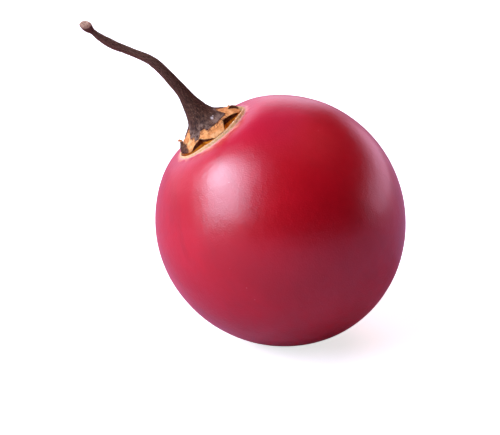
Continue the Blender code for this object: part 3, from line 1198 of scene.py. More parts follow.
    def build(self, effects: Effects) -> bpy.types.Object:
        """Builds and dresses the fruit.

        Args:
            effects: the shared node groups.

        Returns:
            The fruit's skin, which replaces the plain solid.
        """
        made = self.mesh()
        made.data.materials.append(self.finish.material(effects))
        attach(made, BODY)
        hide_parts("fruit")
        return made


@dataclass(frozen=True)
class Arch:
    """One torn arch between two lobes of the calyx, by angles round the axis, in degrees."""

    start: float
    peak: float
    end: float
    cork_rise: float
    edge_rise: float
    opening: float = 0.65
    closing: float = 0.45

    def share(self, angle: np.ndarray) -> np.ndarray:
        """Works out how far up the arch each angle lies.

        Args:
            angle: angles round the axis, in radians.

        Returns:
            0 on the lobes beside the arch, rising to 1 at its peak.
        """
        turned = (np.degrees(angle) - self.start) % 360
        up = smooth_step(turned / (self.peak - self.start)) ** self.opening
        down = smooth_step((self.end - self.start - turned) / (self.end - self.peak)) ** self.closing
        return np.where(turned < self.peak - self.start, up, down)


@dataclass
class Stalk:
    """The stalk with its calyx: torn lobes, corky flare, bark with tongues, ridged stem and broken end.

    The flare is (height, radius) pairs and the girth is (distance along the stalk, radius) pairs. The foot's
    profile gives shares of the wall's radius, heights and roughness. A tongue of bark is its angle, depth,
    flat half width and fall. A blotch is its angle, height, half width and half height, and a fleck is its
    angle, height and size. A pith hole is its place on the broken end and its size, and the end's raised lip
    is its share of the radius, rise and width. The stain above the cork's edge has a least height and what a
    whole arch adds to it. These angles are in degrees.
    """

    frame: FruitFrame
    finish: BarkFinish
    around: int = 288
    neck_height: float = 10.5
    flare: tuple[Pair, ...] = (
        (0.0, 7.75),
        (0.6, 7.4),
        (1.3, 6.75),
        (2.05, 5.65),
        (2.9, 4.3),
        (4.2, 2.9),
        (6.0, 2.08),
        (8.1, 1.53),
        (10.5, 1.22),
    )
    flare_rings: int = 141
    flare_spacing: float = 1.3
    arches: tuple[Arch, ...] = (
        Arch(-131.0, -107.0, -80.0, 1.13, 0.30),
        Arch(-60.0, -47.0, -11.0, 1.32, 0.36, 0.5, 0.35),
        Arch(-1.0, 24.0, 50.0, 1.0, 0.4),
        Arch(64.0, 92.0, 120.0, 1.15, 0.5),
        Arch(136.0, 158.0, 184.0, 0.95, 0.45),
    )
    lobe_edge: float = 0.36
    edge_gap: float = 0.07
    edge_waves: Wave = Wave(0.05, 2.6, layers=3)
    edge_teeth: tuple[Wave, Wave] = (Wave(0.5, 6.5), Wave(0.5, 13.0, 5.0))
    edge_teeth_height: float = 0.04
    cork_waves: Wave = Wave(0.6, 2.7, 40.0)
    cork_teeth_height: float = 0.04
    cork_teeth_growth: float = 0.14
    band_rings: int = 18
    band_depth: float = 0.42
    band_taper: float = 0.4
    band_inset: float = 0.08
    band_waves: Wave = Wave(0.06, 3.1)
    band_tissue_and_shade: Pair = (0.35, 1.0)
    band_tissue_and_shade_blend: float = 0.3
    under_start: float = -0.72
    under_fade: float = 0.28
    wall_radius: float = 7.1
    wall_gap: float = 0.05
    wall_below_edge: float = 0.03
    wall_inset: float = 0.06
    wall_rings: int = 9
    wall_swell: float = 0.018
    wall_bumps: float = 0.006
    wall_shade_height: float = 0.24
    wall_shade: float = 0.62
    foot_radius: float = 5.9
    foot_height: float = -0.85
    foot_profile: tuple[Triple, ...] = (
        (0.08, foot_height, 0.0),
        (0.35, foot_height, 0.0),
        (0.7, foot_height, 0.0),
        (foot_radius / wall_radius, foot_height, 0.0),
        (0.94, foot_height + 0.08, 0.0),
        (0.985, foot_height + 0.22, 0.2),
        (1.0, foot_height + 0.5, 0.6),
        (1.005, -0.05, 1.0),
    )
    foot_bumps: Wave = Wave(1.0, 2.2, 60.0, 3)
    foot_bump_depth: float = 0.08
    bark_step: float = 0.17
    bark_edge: float = 3.5
    bark_blend: float = 0.14
    bark_fade: float = 4.0
    bark_lift: float = 0.09
    bark_ragged: tuple[Wave, Wave] = (Wave(0.1, 1.1, 9.0, 2), Wave(0.03, 5.5))
    bark_ragged_stretch: float = 0.3
    far_on_bark: float = 4.0
    far_off_bark: float = -3.0
    curl_rise: float = 0.07
    curl_reach: float = 0.2
    tongues: tuple[tuple[float, float, float, float], ...] = (
        (178.0, 1.15, 10.0, 8.0),
        (-100.0, 0.85, 37.0, 12.0),
        (-125.0, 1.22, 9.0, 10.0),
        (-113.0, 1.75, 3.5, 14.0),
        (-55.0, 1.35, 29.0, 12.0),
        (28.0, 1.0, 15.0, 12.0),
        (75.0, 1.5, 8.0, 14.0),
        (125.0, 1.2, 14.0, 12.0),
    )
    crumbs: Wave = Wave(0.09, 1.1, layers=3)
    crumb_holes: Wave = Wave(0.07, 2.6)
    cork_lip_rise: float = 0.12
    cork_lip_width: float = 0.22
    straight_height: float = 2.0
    route: tuple[Triple, ...] = (
        (0.0, 0.0, -3.0),
        (0.0, 0.0, 0.0),
        (0.05, 0.0, 3.5),
        (0.1, 0.0, 7.5),
        (0.2, 0.1, 10.3),
        (0.0, 0.3, 12.8),
        (-0.3, 0.5, 15.5),
        (-0.8, 0.8, 18.3),
        (-1.5, 1.0, 20.2),
        (-2.7, 1.2, 22.2),
        (-4.1, 1.3, 24.4),
        (-5.5, 1.2, 26.8),
        (-6.6, 1.0, 29.5),
        (-7.1, 0.8, 31.5),
        (-7.4, 0.6, 33.3),
        (-7.45, 0.5, 35.2),
        (-7.35, 0.4, 37.5),
    )
    route_steps: int = 12
    route_overrun: float = 4.0
    girth: tuple[Pair, ...] = (
        (10.5, 1.22),
        (13.1, 1.15),
        (15.8, 1.03),
        (18.8, 0.97),
        (20.8, 0.87),
        (23.2, 0.80),
        (25.8, 0.80),
        (28.6, 0.87),
        (31.4, 0.70),
        (33.2, 0.57),
        (34.0, 0.84),
        (34.6, 1.0),
        (35.2, 1.02),
        (35.6, 0.90),
    )
    stem_rings: int = 131
    stem_spacing: float = 1.2
    stem_blend: float = 3.0
    stem_lift: float = 0.06
    stem_knots: Wave = Wave(0.075, 0.9, 70.0, 3)
    direction_step: float = 0.3
    twist: float = math.radians(150)
    twist_length: float = 36.6
    grain_stretch: float = 0.22
    ridge_depth: float = 0.13
    ridge_share: float = 0.75
    ridge_height: float = 4.5
    ridge_spread: float = 2.6
    stem_ridge_depth: float = 0.075
    groove_waves: tuple[Wave, Wave] = (Wave(0.62, 1.25), Wave(0.5, 2.9, 31.0))
    break_start: float = 33.9
    break_slant: float = 0.55
    break_facing: Triple = (0.8, -0.58, 0.15)
    break_pale_from: float = 35.05
    break_pale_slant: float = 0.55
    break_pale_fade: float = 0.35
    break_rings: int = 26
    break_middle: float = 0.04
    break_waves: Wave = Wave(0.09, 3.2, 15.0, 3)
    break_lip: Triple = (0.88, 0.08, 0.1)
    break_grain: float = 3.0
    pith_holes: tuple[Triple, ...] = (
        (0.30, 0.22, 0.13),
        (-0.28, 0.30, 0.10),
        (-0.05, -0.30, 0.15),
        (0.42, -0.25, 0.08),
    )
    pith_spread: float = 1.25
    pith_fade: float = 0.5
    pith_depth: float = 0.22
    ragged_waves: Wave = Wave(0.5, 1.5, 40.0, 3)
    stain_height: Pair = (0.05, 0.22)
    stain_fade: float = 0.1
    stain_darkness: Pair = (0.2, 0.85)
    blotches: tuple[tuple[float, float, float, float], ...] = (
        (-161.0, 0.85, 29.0, 1.2),
        (58.0, 0.6, 9.0, 0.5),
        (127.0, 0.5, 8.0, 0.45),
    )
    blotch_raggedness: float = 0.6
    blotch_fade: float = 0.25
    flecks: tuple[Triple, ...] = ((-54.0, 3.25, 0.42), (-45.0, 3.4, 0.16))
    fleck_flatness: float = 1.4
    fleck_raggedness: float = 0.7
    fleck_fade: float = 0.85
    unevenness: Unevenness = field(default_factory=lambda: Unevenness(23))

    def angles(self) -> np.ndarray:
        """The angles of the points round each ring."""
        return np.linspace(0, math.tau, self.around, endpoint=False)

    def line(self) -> tuple[np.ndarray, np.ndarray]:
        """Draws the stalk's middle line as closely spaced points.

        Returns:
            The points' distances along the line from the lip's plane, and the points.
        """
        route = np.array(self.route)
        points = []
        for before, start, end, after in zip(route, route[1:], route[2:], route[3:]):
            share = np.linspace(0, 1, self.route_steps, endpoint=False)[:, None]
            points.append(eased(start, (end - before) / 2, end, (after - start) / 2, share))
        line = np.concatenate([*points, route[-2:-1]])
        steps = np.linalg.norm(np.diff(line, axis=0), axis=1)
        return np.concatenate([[0.0], np.cumsum(steps)]), line

    def centre_at(self, distance: np.ndarray) -> np.ndarray:
        """Reads the middle line.

        Args:
            distance: distances along the line.

        Returns:
            The point of the line at each distance.
        """
        run, line = self.line()
        last = line[-1] + (line[-1] - line[-2]) * self.route_overrun
        run = np.append(run, run[-1] + np.linalg.norm(last - line[-1]))
        line = np.vstack([line, last])
        return np.stack([np.interp(distance, run, line[:, axis]) for axis in range(3)], axis=-1)

    def edges(self, angle: np.ndarray) -> tuple[np.ndarray, np.ndarray, np.ndarray]:
        """Shapes the calyx's torn edge.

        Args:
            angle: angles round the axis, in radians.

        Returns:
            How far each angle lies up an arch, from 0 to 1, the height of the shell's lowest edge, and the
            height where the cork ends above the dark torn band, whose darkness is partly painted shade.
        """
        share = np.zeros_like(angle)
        edge = np.full_like(angle, self.lobe_edge)
        cork = edge + self.edge_gap
        for arch in self.arches:
            part = arch.share(angle)
            share = np.maximum(share, part)
            edge = edge + arch.edge_rise * part
            cork = cork + arch.cork_rise * part
        round_it = round_axis(angle, NOISE_RADIUS)
        coarse, fine = (self.unevenness.wave(round_it, wave) for wave in self.edge_teeth)
        teeth = coarse + fine
        edge = edge + self.unevenness.wave(round_it, self.edge_waves) + self.edge_teeth_height * teeth
        height = self.cork_teeth_height + self.cork_teeth_growth * share
        cork = cork + height * (teeth + self.unevenness.wave(round_it, self.cork_waves))
        return share, edge, np.maximum(cork, edge + self.edge_gap)

    def bark_reach(self, angle: np.ndarray, height: np.ndarray) -> np.ndarray:
        """Shapes the bark's ragged lower edge.

        Args:
            angle: angle round the axis of each point.
            height: height of each point.

        Returns:
            How far above the edge each point lies.
        """
        reach = np.zeros_like(angle)
        for middle, depth, flat, fall in self.tongues:
            offset = np.abs(degrees_from(angle, middle))
            reach = np.maximum(reach, depth * (1 - smooth_step((offset - flat) / fall)))
        round_it = round_axis(angle, NOISE_RADIUS, height * self.bark_ragged_stretch)
        broad, fine = (self.unevenness.wave(round_it, wave) for wave in self.bark_ragged)
        return height - (self.bark_edge - reach) + (broad + fine)

    def grain(self, angle: np.ndarray, distance: np.ndarray) -> np.ndarray:
        """Coordinates that run with the bark's grain: round the stalk, and slowly along it."""
        turned = angle + self.twist * (distance / self.twist_length) ** 2
        return round_axis(turned, NOISE_RADIUS, distance * self.grain_stretch)

    def grooves(self, angle: np.ndarray, distance: np.ndarray) -> np.ndarray:
        """Cuts the long grooves between the bark's ridges.

        Args:
            angle: angle round the stalk of each point.
            distance: distance along the stalk of each point.

        Returns:
            The grooves' depth, from 0 on a ridge to 1.
        """
        grain = self.grain(angle, distance)
        broad, fine = (np.abs(self.unevenness.wave(grain, wave)) for wave in self.groove_waves)
        return 1 - np.clip(broad + fine, 0, 0.5) * 2

    def calyx_outside(self) -> tuple[np.ndarray, Attributes]:
        """Makes the rings from the torn edge, over the dark band of torn tissue and painted shade, and up the
        flare to the neck.

        Returns:
            The points, and the attributes that the finish reads.
        """
        band = np.linspace(-1, 0, self.band_rings)
        upper = np.linspace(0, 1, self.flare_rings)[1:] ** self.flare_spacing
        step, angle = np.meshgrid(np.concatenate([band, upper]), self.angles(), indexing="ij")
        share, edge, cork = self.edges(angle)
        in_band = step <= 0
        upwards = mixed(cork, self.neck_height, np.maximum(step, 0))
        height = np.where(in_band, mixed(cork, edge, -step), upwards)
        lumps = round_axis(angle, smooth_curve(self.flare, height), height)
        reach = self.bark_reach(angle, height)
        radius = self.flare_radius(angle, height, reach, lumps)
        radius = radius + self.cork_lip_rise * share * bell(height - cork, self.cork_lip_width)
        depth = self.band_depth * share * mixed(1.0, self.band_taper, 1 + step)
        inner = smooth_curve(self.flare, cork) - depth
        inner = inner - self.band_inset + self.unevenness.wave(lumps, self.band_waves)
        radius = np.where(in_band, np.minimum(inner, radius), radius)
        bending = smooth_step(height / self.straight_height)
        sideways = self.centre_at(np.maximum(height, 0)) * bending[..., None]
        sideways[..., 2] = 0
        ragged = self.unevenness.wave(lumps, self.ragged_waves)
        attributes = bark_attributes(
            angle.shape,
            bark=reach,
            dark=self.darkness(angle, height, height - cork, share, ragged),
            under=np.where(in_band, smooth_step((self.under_start - step) / self.under_fade), 0.0),
            fleck=self.flecked(angle, height, radius, ragged),
            grain=self.grain(angle, height),
        )
        return round_axis(angle, radius, height) + sideways, attributes

    def flare_radius(
        self,
        angle: np.ndarray,
        height: np.ndarray,
        reach: np.ndarray,
        lumps: np.ndarray,
    ) -> np.ndarray:
        """Lays the bark and the crumbly cork on the flare.

        Args:
            angle: angle round the axis of each point.
            height: height of each point.
            reach: how far above the bark's lower edge each point lies.
            lumps: the points of the plain flare.

        Returns:
            The distance from the axis of each point.
        """
        on_bark = smooth_step(reach / self.bark_blend)
        fade = smooth_step((self.neck_height - height) / self.bark_fade)
        curl = self.curl_rise * bell(reach - self.curl_reach, self.curl_reach)
        radius = smooth_curve(self.flare, height) + (self.bark_step * on_bark + curl) * fade
        share = mixed(self.ridge_share, 1.0, bell(height - self.ridge_height, self.ridge_spread))
        radius = radius + on_bark * (self.bark_lift - self.ridge_depth * self.grooves(angle, height) * share)
        holes = np.maximum(0, self.unevenness.wave(lumps, self.crumb_holes))
        return radius + (1 - on_bark) * (self.unevenness.wave(lumps, self.crumbs) - holes)

    def darkness(
        self,
        angle: np.ndarray,
        height: np.ndarray,
        above_cork: np.ndarray,
        share: np.ndarray,
        ragged: np.ndarray,
    ) -> np.ndarray:
        """Darkens the torn band, as torn tissue and as painted shade that is deepest under the high arches, the
        cork just above it and the blotches.

        Args:
            angle: angle round the axis of each point.
            height: height of each point.
            above_cork: how far above the cork's lower edge each point lies.
            share: how far each point lies up an arch, from 0 to 1.
            ragged: the unevenness of the stains' edges, from -0.5 to 0.5.

        Returns:
            How dark each point is, from 0 to 1.
        """
        in_band = above_cork <= 0
        # painted shade in the torn band over the torn tissue's own darkness, darker where the arch above rises
        # higher
        band = mixed(*self.band_tissue_and_shade, smooth_step(share / self.band_tissue_and_shade_blend))
        low, growth = self.stain_height
        stain = smooth_step((low + growth * share * (0.5 + ragged) - above_cork) / self.stain_fade)
        stain = stain * np.where(in_band, 0, mixed(*self.stain_darkness, share))
        dark = np.maximum(np.where(in_band, band, 0.0), stain)
        for middle, level, half_width, half_height in self.blotches:
            offset = degrees_from(angle, middle) / half_width
            spread = np.hypot(offset, (height - level) / half_height) + self.blotch_raggedness * ragged
            dark = np.maximum(dark, smooth_step((1 - spread) / self.blotch_fade))
        return dark

    def flecked(
        self,
        angle: np.ndarray,
        height: np.ndarray,
        radius: np.ndarray,
        ragged: np.ndarray,
    ) -> np.ndarray:
        """Places the pale flecks on the bark.

        Args:
            angle: angle round the axis of each point.
            height: height of each point.
            radius: distance from the axis of each point.
            ragged: the unevenness of the flecks' edges, from -0.5 to 0.5.

        Returns:
            How much of the flecks' colour each point has, from 0 to 1.
        """
        fleck = np.zeros_like(angle)
        for middle, level, size in self.flecks:
            offset = np.radians(degrees_from(angle, middle)) * radius
            distance = np.hypot(offset, (height - level) * self.fleck_flatness)
            spread = distance / size + self.fleck_raggedness * ragged
            fleck = np.maximum(fleck, smooth_step((1 - spread) / self.fleck_fade))
        return fleck

    def calyx_under(self, edge_ring: np.ndarray) -> tuple[np.ndarray, Attributes]:
        """Makes the rings from the middle of the foot, out and up the orange wall under the calyx.

        Args:
            edge_ring: the points of the torn edge, where the wall ends.

        Returns:
            The points, and the attributes that the finish reads.
        """
        angles = self.angles()
        edge_radius = np.linalg.norm(edge_ring[:, :2], axis=1)
        wall = np.minimum(self.wall_radius, edge_radius + self.wall_gap)
        bumps = self.unevenness.wave(round_axis(angles, NOISE_RADIUS), self.foot_bumps)
        rings = []
        for wide, height, rough in self.foot_profile:
            rings.append(round_axis(angles, wall * wide + self.foot_bump_depth * rough * bumps, height))
        low = rings[-1]
        high = round_axis(angles, edge_radius - self.wall_inset, edge_ring[:, 2] - self.wall_below_edge)
        for share in np.linspace(0, 1, self.wall_rings)[1:]:
            ring = mixed(low, high, share)
            bulge = math.sin(math.pi * share)
            swell = 1 + self.wall_swell * bulge + self.wall_bumps * bumps * bulge
            ring[:, :2] *= swell[:, None]
            rings.append(ring)
        points = np.stack(rings)
        zero = np.zeros(points.shape[:2])
        # painted shade on the orange wall, darkest just under the calyx's edge
        near_edge = (points[..., 2] - edge_ring[None, :, 2] + self.wall_shade_height) / self.wall_shade_height
        attributes = bark_attributes(
            zero.shape,
            bark=self.far_off_bark,
            dark=smooth_step(near_edge) * self.wall_shade,
            under=1.0,
            grain=self.grain(angles[None] + zero, zero),
        )
        return points, attributes

    def stem(self) -> tuple[np.ndarray, Attributes]:
        """Makes the rings of the stalk from the neck to its broken end, and over the slanted break.

        Returns:
            The points, and the attributes that the finish reads.
        """
        end = self.girth[-1][0]
        shares = np.linspace(0, 1, self.stem_rings)[1:]
        distances = mixed(self.neck_height, end, 1 - (1 - shares) ** self.stem_spacing)
        centres = self.centre_at(distances)
        step = self.direction_step
        directions = unit(self.centre_at(distances + step) - self.centre_at(distances - step))
        sides = self.carried_sides(directions)
        others = np.cross(directions, sides)
        distance, angle = np.meshgrid(distances, self.angles(), indexing="ij")
        radius = self.stem_radius(distance, angle)
        out = sides[:, None] * np.cos(angle)[..., None] + others[:, None] * np.sin(angle)[..., None]
        out = out * radius[..., None]
        slant = self.break_slant * smooth_step((distance - self.break_start) / (end - self.break_start))
        towards = out @ np.array(self.break_facing)
        points = centres[:, None] + out - directions[:, None] * (towards * slant)[..., None]
        past_bark = distance - self.break_pale_from + self.break_pale_slant * (towards / radius)
        attributes = bark_attributes(
            distance.shape,
            bark=self.far_on_bark,
            broken=smooth_step(past_bark / self.break_pale_fade),
            grain=self.grain(angle, distance),
        )
        face, face_attributes = self.break_face(points[-1], directions[-1], sides[-1], others[-1])
        joined = {name: np.concatenate([attributes[name], face_attributes[name]]) for name in attributes}
        return np.concatenate([points, face]), joined

    def stem_radius(self, distance: np.ndarray, angle: np.ndarray) -> np.ndarray:
        """Gives the stem its girth, knots and ridges.

        Args:
            distance: distance along the stalk of each point.
            angle: angle round the stalk of each point.

        Returns:
            The distance from the stalk's middle line of each point.
        """
        past_neck = smooth_step((distance - self.neck_height) / self.stem_blend)
        depth = mixed(self.ridge_depth * self.ridge_share, self.stem_ridge_depth, past_neck)
        knots = self.unevenness.wave(self.grain(angle, distance), self.stem_knots)
        lift = mixed(self.bark_lift, self.stem_lift, past_neck)
        girth = smooth_curve(self.girth, distance)
        return girth * (1 + past_neck * knots) + lift - depth * self.grooves(angle, distance)

    @staticmethod
    def carried_sides(directions: np.ndarray) -> np.ndarray:
        """Carries a sideways direction along the stalk without turning about it.

        Args:
            directions: the stalk's direction at each ring.

        Returns:
            The sideways direction at each ring.
        """
        side = np.array([1.0, 0.0, 0.0])
        sides = []
        for direction in directions:
            side = side - direction * side.dot(direction)
            side = side / np.linalg.norm(side)
            sides.append(side)
        return np.stack(sides)

    def break_face(
        self,
        rim: np.ndarray,
        direction: np.ndarray,
        side: np.ndarray,
        other: np.ndarray,
    ) -> tuple[np.ndarray, Attributes]:
        """Makes the rings over the broken end, with its splintered rim and pith holes, which are painted dark
        as painted shade.

        Args:
            rim: the points of the stem's last ring.
            direction: the stalk's direction there.
            side: the sideways direction there.
            other: the direction square to both.

        Returns:
            The points, and the attributes that the finish reads.
        """
        middle = rim.mean(axis=0)
        shares = np.linspace(1, self.break_middle, self.break_rings)[1:]
        rings = np.stack([mixed(middle, rim, share) for share in shares])
        relative = rings - middle
        across, up = relative @ side, relative @ other
        lip_at, lip_rise, lip_width = self.break_lip
        lip = lip_rise * bell(shares[:, None] - lip_at, lip_width)
        pit = np.zeros_like(across)
        for x, y, size in self.pith_holes:
            spread = np.hypot(across - x, up - y) / size
            pit = np.maximum(pit, smooth_step((self.pith_spread - spread) / self.pith_fade))
        rise = self.unevenness.wave(relative, self.break_waves) + lip - self.pith_depth * pit
        grain = np.stack([across * self.break_grain, up * self.break_grain, np.zeros_like(across)], axis=-1)
        attributes = bark_attributes(across.shape, bark=self.far_on_bark, broken=1.0, pit=pit, grain=grain)
        return rings + direction * rise[..., None], attributes

    def mesh(self) -> bpy.types.Object:
        """Joins the calyx, the flare, the stem and the broken end in one mesh.

        Returns:
            The mesh object, with the attributes that its finish reads.
        """
        outside, outside_attributes = self.calyx_outside()
        under, under_attributes = self.calyx_under(outside[0])
        stem, stem_attributes = self.stem()
        points = np.concatenate([under, outside, stem])
        parts = (under_attributes, outside_attributes, stem_attributes)
        attributes = {name: np.concatenate([part[name] for part in parts]) for name in under_attributes}
        attributes["place"] = points
        foot = np.array([[0.0, 0.0, self.foot_height]])
        placed = moved(self.frame.lip_matrix(), points)
        ends = moved(self.frame.lip_matrix(), np.concatenate([foot, points[-1].mean(axis=0, keepdims=True)]))
        return grid_mesh("bark_and_calyx", placed, (ends[0], ends[1]), attributes)

    def build(self, effects: Effects) -> bpy.types.Object:
        """Builds and dresses the stalk.

        Args:
            effects: the shared node groups.

        Returns:
            The bark and calyx, which replace the plain solid.
        """
        made = self.mesh()
        made.data.materials.append(self.finish.material(effects))
        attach(made, BODY)
        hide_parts("stalk_with_calyx")
        return made


@dataclass
class Scrap:
    """A dry curled scrap of the calyx's edge, as a tapered strip along a smooth line."""

    name: str
    route: tuple[Triple, ...]
    widths: tuple[float, ...]
    wide_towards: Triple
    thickness: float
    pale_from: float
    steps: int = 34
    around: int = 20
    curl: float = 0.35
    waves: Wave = Wave(1.0, 2.4, layers=3)
    rough_width: float = 0.10
    rough_thickness: float = 0.05
    pale_fade: float = 0.12
    pale_edge: float = 0.7
    pale_edge_fade: float = 0.2
    pale_edge_waves: float = 0.3
    pale_edge_strength: float = 0.7
    darkness: float = 0.9
    grain_scale: float = 1.5
    unevenness: Unevenness = field(default_factory=lambda: Unevenness(41))

    def line(self) -> np.ndarray:
        """Draws the strip's middle line.

        Returns:
            Evenly spaced points of the line.
        """
        places = np.linspace(0, len(self.route) - 1, self.steps)
        axes = [smooth_curve(tuple(enumerate(values)), places) for values in zip(*self.route)]
        return np.stack(axes, axis=-1)

    def build(self, matrix: Matrix, material: bpy.types.Material) -> bpy.types.Object:
        """Builds and dresses the scrap.

        Args:
            matrix: the place of the lip's frame in the row.
            material: the stalk's material.

        Returns:
            The scrap, which rides with the stalk.
        """
        line = self.line()
        ahead = unit(np.gradient(line, axis=0))
        towards = np.array(self.wide_towards)
        wide = unit(towards - ahead * (ahead @ towards)[:, None])
        thin = np.cross(ahead, wide)
        along = np.linspace(0, 1, self.steps)
        pairs = tuple((i / (len(self.widths) - 1), width / 2) for i, width in enumerate(self.widths))
        half = smooth_curve(pairs, along)
        angles = np.linspace(0, math.tau, self.around, endpoint=False)
        across, up = np.cos(angles), np.sin(angles)
        curl = self.curl * (across**2 - 0.5)
        points = line[:, None] + wide[:, None] * (half[:, None] * across)[..., None]
        thick = np.minimum(self.thickness / 2, half)[:, None] * up + half[:, None] * curl
        points = points + thin[:, None] * thick[..., None]
        rough = self.unevenness.wave(points, self.waves)
        frayed = wide[:, None] * across[None, :, None] * self.rough_width
        frayed = frayed + thin[:, None] * self.rough_thickness
        points = points + frayed * rough[..., None]
        attributes = bark_attributes(rough.shape, **self.colouring(along[:, None], np.abs(across), rough))
        attributes |= {"grain": points * self.grain_scale, "place": points}
        ends = moved(matrix, np.stack([line[0], line[-1]]))
        made = grid_mesh(self.name, moved(matrix, points), (ends[0], ends[1]), attributes)
        made.data.materials.append(material)
        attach(made, BODY)
        return made

    def colouring(self, along: np.ndarray, across: np.ndarray, rough: np.ndarray) -> Attributes:
        """Makes the scrap's tip and edges pale and the rest of it dark.

        Args:
            along: how far along the strip each ring lies, from 0 to 1.
            across: how far from its middle each point of a ring lies, from 0 to 1.
            rough: the unevenness of each point.

        Returns:
            The attributes that choose the colour.
        """
        pale = smooth_step((along - self.pale_from + self.pale_fade * rough) / self.pale_fade)
        edge = smooth_step((across + self.pale_edge_waves * rough - self.pale_edge) / self.pale_edge_fade)
        pale = np.maximum(pale, self.pale_edge_strength * edge)
        return {"bark": mixed(1.0, -1.0, pale), "dark": (1 - pale) * self.darkness}


class Lamp(Enum):
    """The outline of a soft light."""

    BOX = "RECTANGLE"
    ROUND = "ELLIPSE"


@dataclass
class Studio:
    """The white floor, the soft lights and the camera at the photograph's angle.

    The ranges named side, depth and up are of a direction's parts to the right, away from the camera and
    upwards. A colour of the room grows from the first value to the second.
    """

    frame: FruitFrame
    elevation: float = math.radians(20.0)
    distance: float = 0.6
    picture: tuple[int, int] = (500, 435)
    fruit_at: Pair = (279.64, 219.29)
    pixel: float = 0.2088
    sensor: float = 36.0
    floor_size: float = 6.0
    softbox_size: Pair = (0.70, 0.925)
    light_distance: float = 1.0
    light_colour: Colour = (0.71, 0.90, 1.11)
    fill_colour: Colour = (1.0, 0.68, 0.76)
    haze_colour: Colour = (0.80, 0.42, 1.05)
    softbox_towards: Triple = (-0.751, -0.363, 0.5515)
    softbox_tall: Triple = (0.34, 0.581, 0.544)
    softbox_power: float = 11.6
    haze_size: Pair = (0.98, 1.15)
    haze_towards: Triple = (-0.66, -0.40, 0.60)
    haze_power: float = 2.6
    core_size: float = 0.45
    core_towards: Triple = (-0.803, -0.075, 0.592)
    core_power: float = 3.4
    overhead_size: float = 0.9
    overhead_towards: Triple = (0.28, 0.3, 0.91)
    overhead_power: float = 4.0
    room: Colour = (0.015, 0.006, 0.015)
    left_side: Pair = (0.3, 0.08)
    ceiling: Colour = (0.22, 0.06, 0.34)
    ceiling_depth: Pair = (-0.3, 0.25)
    backdrop: Colour = (1.8, 1.3, 1.75)
    backdrop_up: Pair = (0.75, 0.3)
    backdrop_depth: Pair = (0.1, 0.45)
    backdrop_fade: float = 0.42
    backdrop_fade_side: Pair = (-0.05, -0.3)
    right_glow: Colour = (2.5, 1.5, 2.2)
    right_glow_side: Pair = (0.18, 0.48)
    right_glow_up: Pair = (0.38, 0.1)
    right_glow_depth: Pair = (-0.1, 0.3)

    def camera(self) -> bpy.types.Object:
        """Adds the camera, aimed level with the fruit's middle and shifted as the photograph is framed.

        Returns:
            The camera.
        """
        data = bpy.data.cameras.new("camera")
        data.sensor_width = self.sensor
        data.lens = self.sensor * self.distance / (self.picture[0] * self.pixel * MM)
        data.shift_x = (self.picture[0] / 2 - self.fruit_at[0]) / self.picture[0]
        data.shift_y = (self.fruit_at[1] - self.picture[1] / 2) / self.picture[0]
        made = bpy.data.objects.new("camera", data)
        bpy.context.scene.collection.objects.link(made)
        back = Vector((0, -math.cos(self.elevation), math.sin(self.elevation)))
        made.location = self.frame.matrix().translation + back * self.distance
        made.rotation_euler = (math.pi / 2 - self.elevation, 0, 0)
        bpy.context.scene.camera = made
        return made

    def softbox(self, name: str, shape: Lamp, size: Pair, towards: Triple, power: float) -> bpy.types.Object:
        """Adds a soft light that faces the fruit.

        Args:
            name: the light's name.
            shape: whether it is a rectangle or an ellipse.
            size: its width and height, in metres.
            towards: the direction from the fruit to the light.
            power: its power, in watts.

        Returns:
            The light.
        """
        data = bpy.data.lights.new(name, "AREA")
        data.shape = shape.value
        data.size, data.size_y = size
        data.energy = power
        data.color = self.light_colour
        made = bpy.data.objects.new(name, data)
        bpy.context.scene.collection.objects.link(made)
        away = Vector(towards).normalized()
        tall = Vector(self.softbox_tall)
        tall = (tall - away * tall.dot(away)).normalized()
        turn = Matrix((tall.cross(away), tall, away)).transposed()
        place = Vector((0, 0, self.frame.radius * MM)) + away * self.light_distance
        made.matrix_world = Matrix.Translation(place) @ turn.to_4x4()
        return made

    def world(self) -> None:
        """Makes a dim room with a pale backdrop behind the fruit and a low pink-white one on its right."""
        world = bpy.data.worlds.new("studio")
        world.use_nodes = True
        desk = Desk(world.node_tree)
        heading = desk.node("TexCoord").outputs["Generated"]
        side, depth, up = desk.node("SeparateXYZ", {0: heading}).outputs
        left = desk.between(side, *self.left_side)
        above = desk.times(left, desk.between(depth, *self.ceiling_depth))
        colour = desk.blend(above, self.room, self.ceiling)
        back = desk.times(left, desk.between(up, *self.backdrop_up))
        back = desk.times(back, desk.between(depth, *self.backdrop_depth))
        fade = desk.times(desk.between(side, *self.backdrop_fade_side), self.backdrop_fade)
        back = desk.times(back, desk.math("SUBTRACT", 1.0, fade))
        colour = desk.blend(back, colour, self.backdrop)
        right = desk.times(desk.between(side, *self.right_glow_side), desk.between(up, *self.right_glow_up))
        right = desk.times(right, desk.between(depth, *self.right_glow_depth))
        colour = desk.blend(right, colour, self.right_glow)
        glow = desk.node("Background", {"Color": colour, "Strength": 1.0})
        desk.node("OutputWorld", {"Surface": glow.outputs["Background"]})
        bpy.context.scene.world = world

    def floor(self, effects: Effects) -> bpy.types.Object:
        """Adds the floor, which isn't part of the object.

        Args:
            effects: the shared node groups.

        Returns:
            The floor.
        """
        bpy.ops.mesh.primitive_plane_add(size=self.floor_size)
        made = bpy.context.object
        made.name = "floor"
        made.data.materials.append(FloorFinish().material(effects))
        return made

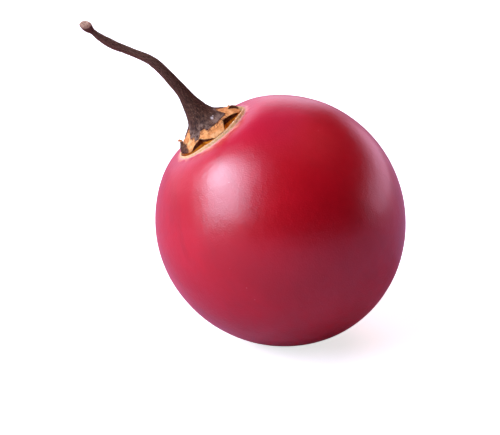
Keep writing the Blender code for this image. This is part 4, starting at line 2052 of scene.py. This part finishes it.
    def build(self, effects: Effects) -> None:
        """Sets up the camera, the floor, the lights and how colours are shown.

        Args:
            effects: the shared node groups.
        """
        self.camera()
        self.floor(effects)
        self.world()
        core, overhead = (self.core_size,) * 2, (self.overhead_size,) * 2
        self.softbox("softbox", Lamp.BOX, self.softbox_size, self.softbox_towards, self.softbox_power)
        self.softbox("lamp", Lamp.ROUND, core, self.core_towards, self.core_power)
        haze = self.softbox("haze", Lamp.BOX, self.haze_size, self.haze_towards, self.haze_power)
        haze.data.color = self.haze_colour
        fill = self.softbox("overhead", Lamp.ROUND, overhead, self.overhead_towards, self.overhead_power)
        fill.data.color = self.fill_colour
        fill.visible_glossy = False
        bpy.context.scene.view_settings.view_transform = "Standard"


SCRAPS = (
    Scrap(
        name="left_scrap",
        route=(
            (-6.6, -2.6, 0.6),
            (-6.65, -2.1, 1.15),
            (-6.5, -1.7, 1.65),
            (-6.25, -1.4, 2.1),
            (-6.15, -1.25, 2.5),
            (-6.35, -1.2, 2.75),
            (-6.65, -1.2, 2.8),
        ),
        widths=(1.9, 1.7, 1.3, 0.95, 0.8, 0.65, 0.3),
        wide_towards=(0.9, -0.5, 0.2),
        thickness=0.26,
        pale_from=0.55,
    ),
    Scrap(
        name="right_scrap",
        route=(
            (5.25, 0.0, 1.65),
            (5.65, 0.3, 1.9),
            (6.2, 0.5, 1.9),
            (6.7, 0.55, 1.6),
            (7.1, 0.5, 1.2),
            (7.35, 0.4, 0.85),
        ),
        widths=(0.2, 0.75, 0.95, 0.95, 0.75, 0.3),
        wide_towards=(0.6, -0.2, 0.8),
        thickness=0.5,
        pale_from=2.0,
    ),
    Scrap(
        name="right_tip",
        route=((5.3, 0.55, 1.75), (5.6, 0.75, 2.05), (5.85, 0.85, 2.3), (6.1, 0.9, 2.35)),
        widths=(0.4, 0.6, 0.6, 0.25),
        wide_towards=(0.6, -0.2, 0.8),
        thickness=0.2,
        pale_from=-0.3,
    ),
)


def main() -> None:
    """Builds the studio and the tamarillo's pieces in order."""
    logging.basicConfig(level=logging.INFO, format="%(name)s: %(message)s")
    fruit_frame = FruitFrame()
    effects = Effects()
    Studio(fruit_frame).build(effects)
    fruit = FruitBody(fruit_frame, SkinFinish()).build(effects)
    stalk = Stalk(fruit_frame, BarkFinish()).build(effects)
    material = stalk.data.materials[0]
    scraps = [scrap.build(fruit_frame.lip_matrix(), material) for scrap in SCRAPS]
    for made in (fruit, stalk, *scraps):
        log.info("%s: %d faces", made.name, len(made.data.polygons))


if __name__ == "__main__":
    main()
